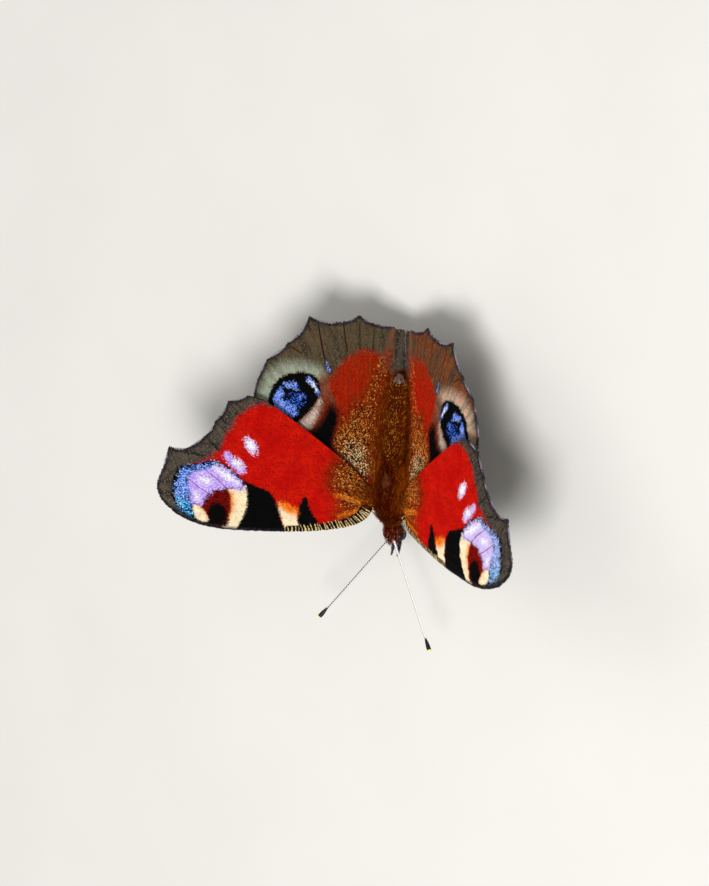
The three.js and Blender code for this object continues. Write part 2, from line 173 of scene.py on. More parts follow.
@dataclass
class Shape:
    """Triangles in the insect's frame, with what each point carries.

    Attributes:
        points: places in mm, one row each.
        faces: three point numbers for each triangle.
        marks: values by name, one for each point, that the finishes read.
        uv: a place on the skin's unwrap for each point, or None.
        slots: which of the piece's finishes each triangle has, or None for the first.
    """

    points: Array
    faces: Array
    marks: dict[str, Array] = field(default_factory=dict)
    uv: Array | None = None
    slots: Array | None = None

    def mirrored(self) -> "Shape":
        """The same shape on the left side of the body, marked as such."""
        marks = {**self.marks, "left": np.ones(len(self.points))}
        return replace(self, points=self.points * [-1, 1, 1], faces=self.faces[:, ::-1], marks=marks)


def joined(shapes: Sequence[Shape]) -> Shape:
    """One shape from several that carry the same marks."""
    starts = np.cumsum([0] + [len(shape.points) for shape in shapes[:-1]])
    slots = [np.zeros(len(s.faces), int) if s.slots is None else s.slots for s in shapes]
    return Shape(
        points=np.vstack([shape.points for shape in shapes]),
        faces=np.vstack([shape.faces + start for shape, start in zip(shapes, starts)]),
        marks={name: np.concatenate([s.marks[name] for s in shapes]) for name in shapes[0].marks},
        uv=None if shapes[0].uv is None else np.vstack([shape.uv for shape in shapes]),
        slots=np.concatenate(slots),
    )


class Slot(Enum):
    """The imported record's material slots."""

    WING = "wing"
    THORAX_HAIR = "thorax_hair"
    ABDOMEN_HAIR = "abdomen_hair"
    PALP = "palp"
    EYE = "eye"
    HORN = "horn"
    LEG = "leg"


def part_origin() -> Array:
    """Where the insect's own origin lies in the frame, in mm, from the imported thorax."""
    low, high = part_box("thorax")
    return np.array([0.0, (low.y + high.y) / 2 / MM - THORAX.y, HINGE_HEIGHT])


def make_piece(
    name: str, shape: Shape, finishes: Sequence["Finish"], nodes: Sequence[str] = ()
) -> None:
    """Make a piece that rides on the body.

    Args:
        name: the piece's name.
        shape: its triangles, in mm.
        finishes: its materials.
        nodes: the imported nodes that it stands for.
    """
    mesh = bpy.data.meshes.new(name)
    mesh.vertices.add(len(shape.points))
    mesh.vertices.foreach_set("co", ((shape.points + part_origin()) * MM).astype(np.float32).ravel())
    mesh.loops.add(shape.faces.size)
    mesh.loops.foreach_set("vertex_index", shape.faces.astype(np.int32).ravel())
    mesh.polygons.add(len(shape.faces))
    mesh.polygons.foreach_set("loop_start", np.arange(len(shape.faces), dtype=np.int32) * 3)
    if shape.slots is not None:
        mesh.polygons.foreach_set("material_index", shape.slots.astype(np.int32))
    for mark, values in shape.marks.items():
        wide = values.ndim == 2
        attribute = mesh.attributes.new(mark, "FLOAT_VECTOR" if wide else "FLOAT", "POINT")
        attribute.data.foreach_set("vector" if wide else "value", values.astype(np.float32).ravel())
    if shape.uv is not None:
        patches = mesh.uv_layers.new(name="OFBake")
        patches.data.foreach_set("uv", shape.uv[shape.faces.ravel()].astype(np.float32).ravel())
    for finish in finishes:
        mesh.materials.append(finish.material)
    mesh.update(calc_edges=True)
    mesh.validate()
    mesh.shade_smooth()
    piece = bpy.data.objects.new(name, mesh)
    bpy.context.scene.collection.objects.link(piece)
    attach(piece, "root")
    if nodes:
        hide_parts(*nodes)
    log.info("%s: %d triangles", name, len(mesh.polygons))


def make_pair(
    name: str, shape: Shape, finishes: Sequence["Finish"], nodes: Sequence[str] = ()
) -> None:
    """Make a piece for each side from the right-hand shape.

    Args:
        name: of the pieces, with {} for the side.
        shape: the right one, in mm.
        finishes: their materials.
        nodes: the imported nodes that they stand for, with {} for the side.
    """
    for side, form in (("right", shape), ("left", shape.mirrored())):
        make_piece(name.format(side), form, finishes, [node.format(side) for node in nodes])


def linear(colour: str) -> tuple[float, float, float, float]:
    """A colour given as sRGB hex digits, as the renderer's linear values."""
    shares = [int(colour[k : k + 2], 16) / 255 for k in (1, 3, 5)]
    return (*(c / 12.92 if c <= 0.04045 else ((c + 0.055) / 1.055) ** 2.4 for c in shares), 1.0)


def feed(tree: bpy.types.NodeTree, node: bpy.types.Node, inputs: Inputs) -> None:
    """Link or set a node's inputs.

    Args:
        tree: the node's tree.
        node: the node.
        inputs: what each input gets, by its name or number or in order: an output of another node, a number,
            or a colour in hex digits.
    """
    for name, value in inputs.items() if isinstance(inputs, dict) else enumerate(inputs):
        if isinstance(value, Socket):
            tree.links.new(value, node.inputs[name])
        else:
            node.inputs[name].default_value = linear(value) if isinstance(value, str) else value


def add_node(
    tree: bpy.types.NodeTree, kind: str, inputs: Inputs = (), output: str | int = 0, **settings: object
) -> Socket:
    """Add a node with its settings and links.

    Args:
        tree: the node tree.
        kind: the node's type, without the two words that every type starts with.
        inputs: what its inputs get, as feed takes it.
        output: the name or number of the output that is wanted.
        settings: the node's own settings.

    Returns:
        That output.
    """
    node = tree.nodes.new("ShaderNode" + kind)
    for name, value in settings.items():
        setattr(node, name, value)
    feed(tree, node, inputs)
    return node.outputs[output]


class Mark(Enum):
    """Markings of a wing's upper side, in the order in which they lie over its red."""

    BRICK = "brick"
    RUST = "rust"
    # painted shade on the turned-down rear strip of the right hindwing
    FOLD = "fold"
    GOLD = "gold"
    SAND = "sand"
    MARGIN = "margin"
    SLATE = "slate"
    VEIN = "vein_line"
    PINK = "pink"
    UMBER = "umber"
    PALE = "pale"
    SILVER = "silver"
    BLACK = "black"
    CREAM = "cream"
    ORANGE = "orange"
    MAROON = "maroon"
    PUPIL = "pupil"
    LILAC = "lilac"
    DUSK = "dusk_blue"
    BLUE = "blue"
    AZURE = "azure"
    TEAL = "teal"
    WHITE = "white"
    WINE = "wine"
    LADDER = "ladder"
    DASH = "dash"
    EDGE = "edge"


FINE_MARKS = (Mark.LADDER, Mark.DASH, Mark.WINE, Mark.VEIN)  # finer than a scale, so they cross it


@dataclass(frozen=True)
class Paint:
    """How a marking's scales are coloured, and how its edge breaks up.

    Attributes:
        mark: the marking.
        colour: of most of its scales.
        fleck: of the other scales.
        share: the share of scales that are flecks.
        soft: mm on each side of its edge over which it fades.
        ragged: mm between the scales that stray furthest in and out.
        speck: of a second kind of fleck.
        speck_share: the share of scales of that kind.
        left: of most of its scales on the left wings, where it isn't the same. Where a mark has one, the two
            sides differ by painted sheen and painted light, for how the scales' sheen and the light fall on
            each side; the real wings match.
        streak: of the streaks that run outward in it.
    """

    mark: Mark
    colour: str
    fleck: str
    share: float
    soft: float
    ragged: float
    speck: str = ""
    speck_share: float = 0.0
    left: str = ""
    streak: str = ""

    def over(self, add: AddNode, under: Socket, grain: Socket, stray: Socket, streaked: Socket) -> Socket:
        """Lay the marking over a colour.

        Args:
            add: adds a node to the tree.
            under: the colour below the marking.
            grain: a number from 0 to 1 for each scale.
            stray: a number from -0.5 to 0.5 for each scale.
            streaked: 1 in a streak and 0 between streaks.

        Returns:
            The colour with the marking on it.
        """
        depth = add("Attribute", output="Fac", attribute_name=self.mark.value)
        strayed = add("Math", (stray, self.ragged, depth), operation="MULTIPLY_ADD")
        cover = add("MapRange", (strayed, -self.soft, self.soft), interpolation_type="SMOOTHSTEP")
        layers = [(add("Math", (grain, self.share), operation="LESS_THAN"), self.fleck)]
        if self.streak:
            layers.insert(0, (streaked, self.streak))
        # painted sheen and painted light: the left wings' own colour
        if self.left:
            layers.insert(0, (add("Attribute", output="Fac", attribute_name="left"), self.left))
        if self.speck:
            layers.append((add("Math", (grain, 1 - self.speck_share), operation="GREATER_THAN"), self.speck))
        own = self.colour
        for share, colour in layers:
            own = add("Mix", {0: share, 6: own, 7: colour}, 2, data_type="RGBA")
        return add("Mix", {0: cover, 6: under, 7: own}, 2, data_type="RGBA")


# The left colours below are painted sheen and painted light: the two sides differ only by how the scales'
# sheen and the light fall on each.
UPPER_PAINTS = (
    Paint(Mark.BRICK, "#B42000", "#921800", 0.3, 0.3, 0.3, left="#C21800", streak="#A03008"),
    Paint(Mark.RUST, "#943000", "#561400", 0.3, 1.1, 1.8, left="#A03000", streak="#742000"),
    # painted shade: rust on the right hindwing's turned-down rear strip, where shade falls, and the wing's
    # red on the left
    Paint(Mark.FOLD, "#943000", "#761C00", 0.3, 0.4, 0.8, left="#C21800"),
    Paint(Mark.GOLD, "#943E04", "#1E0B03", 0.34, 0.3, 2.4, speck="#D09040", speck_share=0.25, left="#B04400"),
    Paint(Mark.SAND, "#A86C34", "#120A05", 0.45, 0.6, 1.6, speck="#E8CE9C", speck_share=0.3),
    Paint(Mark.MARGIN, "#5E503A", "#62624A", 0.14, 0.2, 1.0, speck="#6C4630", speck_share=0.14,
          left="#84401A", streak="#38342A"),
    Paint(Mark.SLATE, "#544C42", "#66664E", 0.16, 0.15, 0.9, speck="#6A4A3C", speck_share=0.12,
          left="#484038", streak="#302E32"),
    Paint(Mark.VEIN, "#1A120C", "#1A120C", 0.0, 0.06, 0.04),
    Paint(Mark.PINK, "#94583E", "#6E3C2A", 0.35, 0.6, 0.5, left="#7C6A58", streak="#6A3420"),
    Paint(Mark.UMBER, "#3A1206", "#200802", 0.4, 0.5, 0.6),
    Paint(Mark.PALE, "#F0E4D8", "#D0BCAC", 0.35, 0.5, 0.3, left="#B4BCAC", streak="#B08C78"),
    Paint(Mark.SILVER, "#AAB8A2", "#98A690", 0.35, 1.1, 0.4, left="#ECB494", streak="#9A9284"),
    Paint(Mark.BLACK, "#000000", "#040204", 0.3, 0.06, 0.3),
    Paint(Mark.CREAM, "#FFF2D2", "#FADDA6", 0.3, 0.12, 0.25),
    Paint(Mark.ORANGE, "#FF9A20", "#F46A0C", 0.4, 0.5, 0.4),
    Paint(Mark.MAROON, "#820600", "#380000", 0.4, 0.12, 0.35, left="#960800"),
    Paint(Mark.PUPIL, "#020000", "#020000", 0.0, 0.2, 0.3),
    Paint(Mark.LILAC, "#BE9AF6", "#E0D0FF", 0.4, 0.2, 0.6, left="#D2BEF0"),
    Paint(Mark.DUSK, "#3C70E4", "#010103", 0.62, 0.1, 0.8),
    Paint(Mark.BLUE, "#6C92FF", "#02040C", 0.15, 0.1, 0.5, speck="#A6C4FF", speck_share=0.25),
    Paint(Mark.AZURE, "#5C8EF4", "#060C22", 0.27, 0.2, 0.9, speck="#C8DCFF", speck_share=0.22,
          left="#A2B6F2"),
    Paint(Mark.TEAL, "#38ACF0", "#04182E", 0.25, 0.3, 0.9, speck="#A8E4FF", speck_share=0.2, left="#92BCF0"),
    Paint(Mark.WHITE, "#FFFFFF", "#EAE4FF", 0.3, 0.35, 0.5),
    Paint(Mark.WINE, "#8A1030", "#8A1030", 0.0, 0.05, 0.05),
    Paint(Mark.LADDER, "#050302", "#050302", 0.0, 0.05, 0.0),
    Paint(Mark.DASH, "#F8E0A4", "#C89C58", 0.35, 0.03, 0.03),
    Paint(Mark.EDGE, "#161316", "#3A3846", 0.3, 0.3, 0.2),
)


@dataclass(frozen=True)
class Patch:
    """A patch of colour inside a soft closed curve through a few places."""

    points: Places

    def depth(self, at: Array) -> Array:
        """How deep places lie inside the patch, in mm."""
        return depth_inside(at, curve_through(self.points, 5 * len(self.points), closed=True))


@dataclass(frozen=True)
class Spot:
    """An oval spot of colour: its centre, its half length and half width, and its turn in degrees."""

    centre: Place
    radii: Place
    turn: float = 0.0

    def depth(self, at: Array) -> Array:
        """How deep places lie inside the spot, in mm."""
        turn = math.radians(self.turn)
        axes = np.array([[math.cos(turn), -math.sin(turn)], [math.sin(turn), math.cos(turn)]])
        away = ((at - self.centre) @ axes) / self.radii
        return (1 - np.hypot(*away.T)) * min(self.radii)


@dataclass(frozen=True)
class Stroke:
    """A line of colour along a soft curve, whose half width goes from half to end_half."""

    points: Places
    half: float
    end_half: float | None = None

    def depth(self, at: Array) -> Array:
        """How deep places lie inside the stroke, in mm."""
        line = curve_through(self.points, 4 * (len(self.points) - 1))
        return depth_of_line(at, line, self.half, self.half if self.end_half is None else self.end_half)


Markings = tuple[tuple[Mark | Patch | Spot | Stroke, ...], ...]  # each row is a mark and its shapes

FORE_MARKINGS: Markings = (
    (Mark.RUST, Patch((
        (0, 3), (4, 2.2), (6, 1.4), (5.4, 0), (5.8, -1.6), (6.8, -3), (7, -5), (5.6, -7.6), (4, -9),
        (-1, -5), (-1, 1),
    ))),
    (Mark.GOLD, Patch((
        (-1, 1.2), (2.2, 0.5), (4, -0.1), (5, -1.5), (5.3, -3), (5, -4.8), (4, -6.4), (0, -5), (-1, -1),
    ))),
    (Mark.ORANGE,
     Stroke(((2.2, -1.2), (3.6, -1.6), (5.6, -1.9)), 0.12, 0.03),
     Stroke(((2.6, 0), (4, 0.6), (5.4, 1.1)), 0.1, 0.03),
     Patch((
        (11.05, 1.3), (12, 1.25), (12.7, 0.9), (13.3, 0.35), (13.45, -0.35), (12.6, -0.25), (11.8, 0.1),
        (11, 0.5),
     )),
     Stroke(((20.5, 2.5), (20.05, 1), (19.95, 0), (20.2, -1)), 0.2, 0.3),
     Stroke(((23.25, 2.5), (23.9, 1.6), (24.6, 0.95)), 0.04)),
    (Mark.SLATE, Patch((
        (20, 5.2), (21, 3.2), (24, 2.6), (26.6, 1.6), (27.4, 0.3), (27.8, -0.9), (27.6, -2.4), (27, -3.8),
        (25.8, -4.6), (24.2, -5.4), (23.1, -6.2), (22, -7.1), (21.5, -8.2), (21.2, -9.4), (20.6, -10.2),
        (20, -11.2), (19.5, -12.2), (18.4, -13.1), (17.4, -13.7), (16, -14), (14.8, -13.8), (15, -16),
        (19, -17), (24, -14), (27, -9), (31, -8.5), (33, -2), (31.5, 3), (27, 5.4),
    ))),
    (Mark.VEIN,
     Stroke(((24.2, -5.9), (26.3, -6.7)), 0.06),
     Stroke(((22.2, -7), (23.9, -8.6)), 0.06),
     Stroke(((20.9, -9.3), (22.5, -10.9)), 0.06),
     Stroke(((19.4, -12.2), (20.9, -13.8)), 0.06),
     Stroke(((28, -4.2), (29.2, -6.6)), 0.06)),
    (Mark.BLACK,
     Patch((
        (8.4, 2.3), (9, 2.9), (10.2, 3.3), (11.2, 3.2), (11.1, 2), (11, 1.2), (10.7, 0.3), (10.3, -0.6),
        (9.85, -1.3), (9.4, -0.9), (9.25, 0.1), (8.95, 0.9), (8.6, 1.5),
     )),
     Patch((
        (13.05, 4.9), (13.1, 3.2), (13.4, 1.5), (13.7, 0), (14.2, -1), (14.8, -1.75), (16, -2.15),
        (17, -2.55), (18.2, -3), (19, -3.3), (18.3, -2.4), (18, -0.5), (18.2, 1.2), (18.9, 2.7),
        (19.6, 4.2), (19.6, 5),
     )),
     Patch((
        (18.9, 4), (21, 4.2), (22.7, 3.75), (25, 3.3), (26.8, 2.35), (28, 1.1), (28.65, -0.4), (28.6, -2),
        (28.2, -3.4), (27.6, -4.35), (26, -4.8), (24, -5.35), (22.8, -5.65), (21.6, -5.35), (20.3, -4.6),
        (18.7, -3.3), (17.9, -1.5), (17.9, 0.5), (18.4, 2),
     ))),
    (Mark.CREAM,
     Patch((
        (11.15, 3.15), (12, 3.3), (13.05, 3.2), (13.25, 1.9), (13.5, 0.3), (13.35, -0.3), (12.8, 0.1),
        (12, 0.5), (11.1, 0.8), (11.15, 2),
     )),
     Patch((
        (19.6, 4.4), (20.6, 4.2), (21.4, 3.7), (20.9, 3), (20.4, 2.2), (20.15, 1.1), (20.1, 0), (20.3, -1),
        (20.7, -1.6), (19.8, -1.8), (18.9, -1.7), (18.3, -2.4), (17.95, -1.6), (17.85, -0.3), (18, 0.8),
        (18.4, 1.9), (18.9, 2.9),
     )),
     Patch((
        (23.1, 3.1), (24.2, 3.25), (25.1, 2.7), (25.6, 1.7), (25.4, 0.9), (24.7, 0.9), (23.9, 1.6),
        (23.35, 2.3),
     ))),
    (Mark.MAROON, Patch((
        (20.5, 3.4), (21.6, 3.7), (22.9, 3.5), (23.3, 2.4), (23.9, 1.45), (24.3, 0.7), (24.1, 0),
        (23.3, -0.4), (22.9, -0.9), (22.2, -1.45), (21.3, -1.5), (20.6, -1.4), (20.25, -0.7), (20.15, 0.4),
        (20.25, 1.4), (20.5, 2.4),
    ))),
    (Mark.PUPIL,
     Spot((22.0, 1.95), (1.35, 1.5)),
     Stroke(((20.9, 3.3), (22.9, 3.2)), 0.35)),
    (Mark.LILAC,
     Patch((
        (24.2, 0.8), (25.1, 0.8), (25.7, 1), (26.1, 0.2), (26.3, -0.8), (26.5, -2), (26.4, -3),
        (25.6, -3.9), (24.3, -4.4), (23.4, -4.6), (22.7, -5.1), (21.8, -5), (20.5, -4.3), (19.3, -3.4),
        (18.5, -2.5), (18.3, -1.8), (19.3, -1.7), (20.3, -1.9), (21.2, -1.6), (22.4, -1.4), (23.1, -0.7),
        (23.8, -0.1),
     )),
     Patch((
        (18.25, -4.2), (19, -4.1), (20, -4.7), (20.9, -5.6), (21.35, -6.5), (20.8, -6.9), (19.8, -6.2),
        (18.8, -5.7), (18.3, -5),
     )),
     Spot((17.6, -8), (1.15, 0.72), -54)),
    (Mark.AZURE, Patch((
        (25.6, 2.55), (26.6, 2), (27.7, 0.9), (28.1, -0.4), (28, -2), (27.6, -3.4), (27.1, -4.2),
        (25.8, -4.5), (24.2, -4.95), (23, -5.3), (22.1, -5.3), (22.8, -4.7), (23.8, -4.35), (25.3, -3.9),
        (26.2, -3), (26.3, -1.8), (26, -0.6), (25.9, 0.4), (25.7, 1.5),
    ))),
    (Mark.TEAL, Patch((
        (25.5, 2.55), (26.4, 2.1), (27.4, 1.2), (27.9, 0.2), (27.3, 0), (26.4, 0.5), (25.8, 1.5),
    ))),
    (Mark.WHITE,
     Stroke(((19.2, -2.6), (20.2, -3.2), (21.6, -3.9), (22.3, -4.4)), 0.2, 0.3),
     Spot((20.9, -3.5), (1.3, 0.45), -33),
     Spot((23.9, -2.6), (0.8, 0.42), -8),
     Spot((25, -0.35), (0.38, 0.55), 20),
     Spot((19.4, -5.4), (0.75, 0.45), -42),
     Spot((17.6, -8), (0.95, 0.5), -54)),
    (Mark.WINE,
     Stroke(((20.8, -1.6), (22.2, -2.9), (24.4, -4.4)), 0.07, 0.05),
     Stroke(((23.1, -0.6), (24.8, -1.6), (26.8, -3)), 0.07, 0.05)),
    (Mark.EDGE,
     Stroke(((13, 4.15), (16, 4.25), (19, 4.3), (22.5, 4.05), (25, 3.6), (27, 2.95)), 0.4, 0.5),
     Stroke(((27, 2.95), (29.8, 0.95), (30.7, -0.9)), 0.4, 0.3)),
)

HIND_MARKINGS: Markings = (
    (Mark.BRICK, Patch(((-9, 0), (24, 0), (24, -32), (-9, -32)))),
    (Mark.RUST, Patch((
        (-4, -4), (2, -3.6), (4, -5), (6.5, -7), (7.3, -9.5), (6.6, -11.8), (5.4, -13.5), (4.6, -15.2),
        (3.2, -16), (2, -18.6), (1, -21.5), (0, -26), (-4, -27),
    ))),
    # painted shade: rust on the right hindwing's turned-down rear strip, where shade falls, and red on the
    # left
    (Mark.FOLD, Patch((
        (1.6, -14.6), (3.8, -15.4), (2.8, -18.2), (1.6, -21.2), (-0.3, -21.8), (-0.2, -20), (0.7, -17.5),
    ))),
    (Mark.GOLD,
     Patch((
        (1.9, -5), (3, -5.2), (5, -6), (6.8, -7.2), (7.3, -8.8), (7.1, -10.2), (6.2, -11.4), (5, -12.4),
        (3.9, -13.6), (3, -14), (2.2, -12), (2, -8),
     )),
     # painted highlight: the gold line along the crest of the crease, where the crest catches the light
     Stroke((
        (2.2, -8), (2.1, -11), (2.2, -14), (2, -16), (1.5, -17.8), (1, -19.5), (0.8, -21),
     ), 0.25, 0.1)),
    (Mark.SAND, Patch(((2.2, -4.6), (4.6, -6), (5.4, -7.6), (5, -9), (3.6, -8.8), (2.4, -7.4)))),
    (Mark.MARGIN,
     Patch((
        (18.6, -13), (17.4, -14), (16.6, -16), (15.6, -18), (13.5, -19.2), (11.5, -19), (9.6, -18.9),
        (8.7, -17.6), (8.2, -16.2), (7.6, -14.6), (6.9, -13.6), (6.9, -14.4), (7.6, -15.8), (8.2, -17.2),
        (7.4, -18.6), (6.8, -19.6), (6, -20.6), (5, -21.5), (3.6, -22.2), (2.2, -22.3), (1.2, -21.6),
        (0.4, -22.4), (-2, -23), (-2, -28), (5, -29), (12, -28), (19, -22), (20, -14),
     )),
     Patch((
        (3, -2), (8, -3.5), (14, -6.5), (19, -11), (17.5, -13.5), (14, -10.5), (11, -8.8), (7, -7.4),
        (4, -5.4),
     ))),
    (Mark.SLATE, Patch((
        (-1, -26), (-0.9, -24), (-0.5, -22), (-0.1, -20), (-0.6, -18.8), (-3, -18.4), (-3.5, -22),
        (-3, -26.5),
    ))),
    (Mark.PINK,
     Stroke(((-0.4, -25.8), (0.1, -22.4), (0.7, -19.6)), 0.22, 0.1),
     Patch((
        (13.6, -8.6), (11.4, -9.2), (9.9, -10.6), (8.7, -12.3), (8.1, -14.2), (7.9, -16), (8.1, -17.6),
        (9, -19), (11, -17.6), (10.6, -15.5), (11.6, -13.4), (13.4, -11.8), (15.2, -10.2),
     ))),
    (Mark.VEIN,
     Stroke(((5.7, -22.1), (6, -23.6), (6.4, -25.9)), 0.08),
     Stroke(((8.7, -20.8), (9.3, -23), (9.9, -25.9)), 0.09),
     Stroke(((12, -21.3), (13.6, -22.2)), 0.08),
     Stroke(((15, -18.8), (16.5, -19.7)), 0.06),
     Stroke(((4, -22.4), (4.2, -26.4)), 0.05),
     Stroke(((2.3, -22.4), (2.2, -25.6)), 0.05)),
    (Mark.UMBER, Patch((
        (7, -6.8), (9.2, -7.2), (11, -9), (10, -10.8), (9.1, -11.8), (8.5, -13), (8, -14.2), (7.2, -14.4),
        (6.3, -13.2), (6.4, -11.4), (6.8, -9.6),
    ))),
    (Mark.PALE, Stroke(((13, -9.4), (11.4, -10.7), (10.3, -12), (9.5, -13.4), (9.1, -14.8)), 1.1, 0.15)),
    (Mark.SILVER, Patch((
        (18, -12), (17.9, -14.6), (17.4, -16.5), (16.4, -18.2), (14.7, -19.4), (12.6, -19.9), (10.4, -19.7),
        (8.9, -18.9), (10, -17.6), (12.5, -17.8), (14.6, -16.8), (15.4, -15), (15.6, -13), (15.6, -10.6),
    ))),
    (Mark.BLACK,
     Patch((
        (7.4, -7.6), (9, -8), (10.4, -9.2), (9.4, -10.4), (8.7, -11.3), (8.1, -12.4), (7.8, -13.4),
        (7.2, -13.5), (6.6, -12.8), (6.8, -11.6), (7.2, -10),
     )),
     Patch((
        (13.8, -10.6), (12, -11.6), (11.2, -12.4), (10.4, -13.3), (9.7, -14.3), (9.2, -15.3), (9.1, -16.5),
        (9.5, -17.8), (10.6, -18.4), (11.8, -18.6), (13, -18.35), (14.2, -17.9), (15.2, -17.1),
        (15.9, -15.9), (16.3, -14.6), (16.3, -13), (15.6, -11.3),
     ))),
    (Mark.DUSK, Patch((
        (12.4, -12.9), (13.6, -13.9), (13.5, -14.9), (12.5, -15.7), (11.4, -15.6), (11, -14.8),
        (11.5, -13.6),
    ))),
    (Mark.BLUE,
     Patch((
        (12.2, -12.7), (12.9, -12), (14, -12.3), (15.1, -13.2), (15.55, -14.3), (15.2, -15.4),
        (14.7, -16.2), (14.1, -15.5), (14.3, -14.7), (13.7, -14.2), (12.9, -13.9), (12.5, -13.4),
     )),
     Patch((
        (12.2, -16), (13, -16.3), (13.9, -16.3), (14.2, -16.8), (13.2, -17.05), (12.5, -17.05),
     )),
     Spot((11.7, -15.3), (0.3, 0.25)),
     Stroke(((9.35, -15.7), (9.85, -16.7), (10.75, -17.6)), 0.16, 0.28),
     Stroke(((8, -19.2), (8.4, -20)), 0.14)),
    (Mark.WHITE, Stroke(((9.6, -16.1), (9.95, -16.8), (10.6, -17.4)), 0.02, 0.08)),
)


@dataclass(frozen=True)
class Raster:
    """Values on a square net over u and v, read softly between its points."""

    low: float
    step: float
    values: Array

    def read(self, at: Array) -> Array:
        """The value at each place."""
        share = (at - self.low) / self.step
        cell = np.clip(share.astype(int), 0, np.array(self.values.shape) - 2)
        s, t = np.clip(share - cell, 0, 1).T
        i, j = cell.T
        near = self.values[i, j] * (1 - s) + self.values[i + 1, j] * s
        far = self.values[i, j + 1] * (1 - s) + self.values[i + 1, j + 1] * s
        return near * (1 - t) + far * t


@dataclass(frozen=True)
class Relief:
    """How the skin of a wing stands about its middle surface, in mm."""

    root_half: float = 0.13  # half the thickness well inside the edge
    edge_half: float = 0.05
    edge_band: float = 3.0  # from the edge to the full thickness
    vein_height: float = 0.1
    vein_half: float = 0.17
    pleat: float = 0.1  # how far the membrane sinks between veins
    pleat_half: float = 0.9


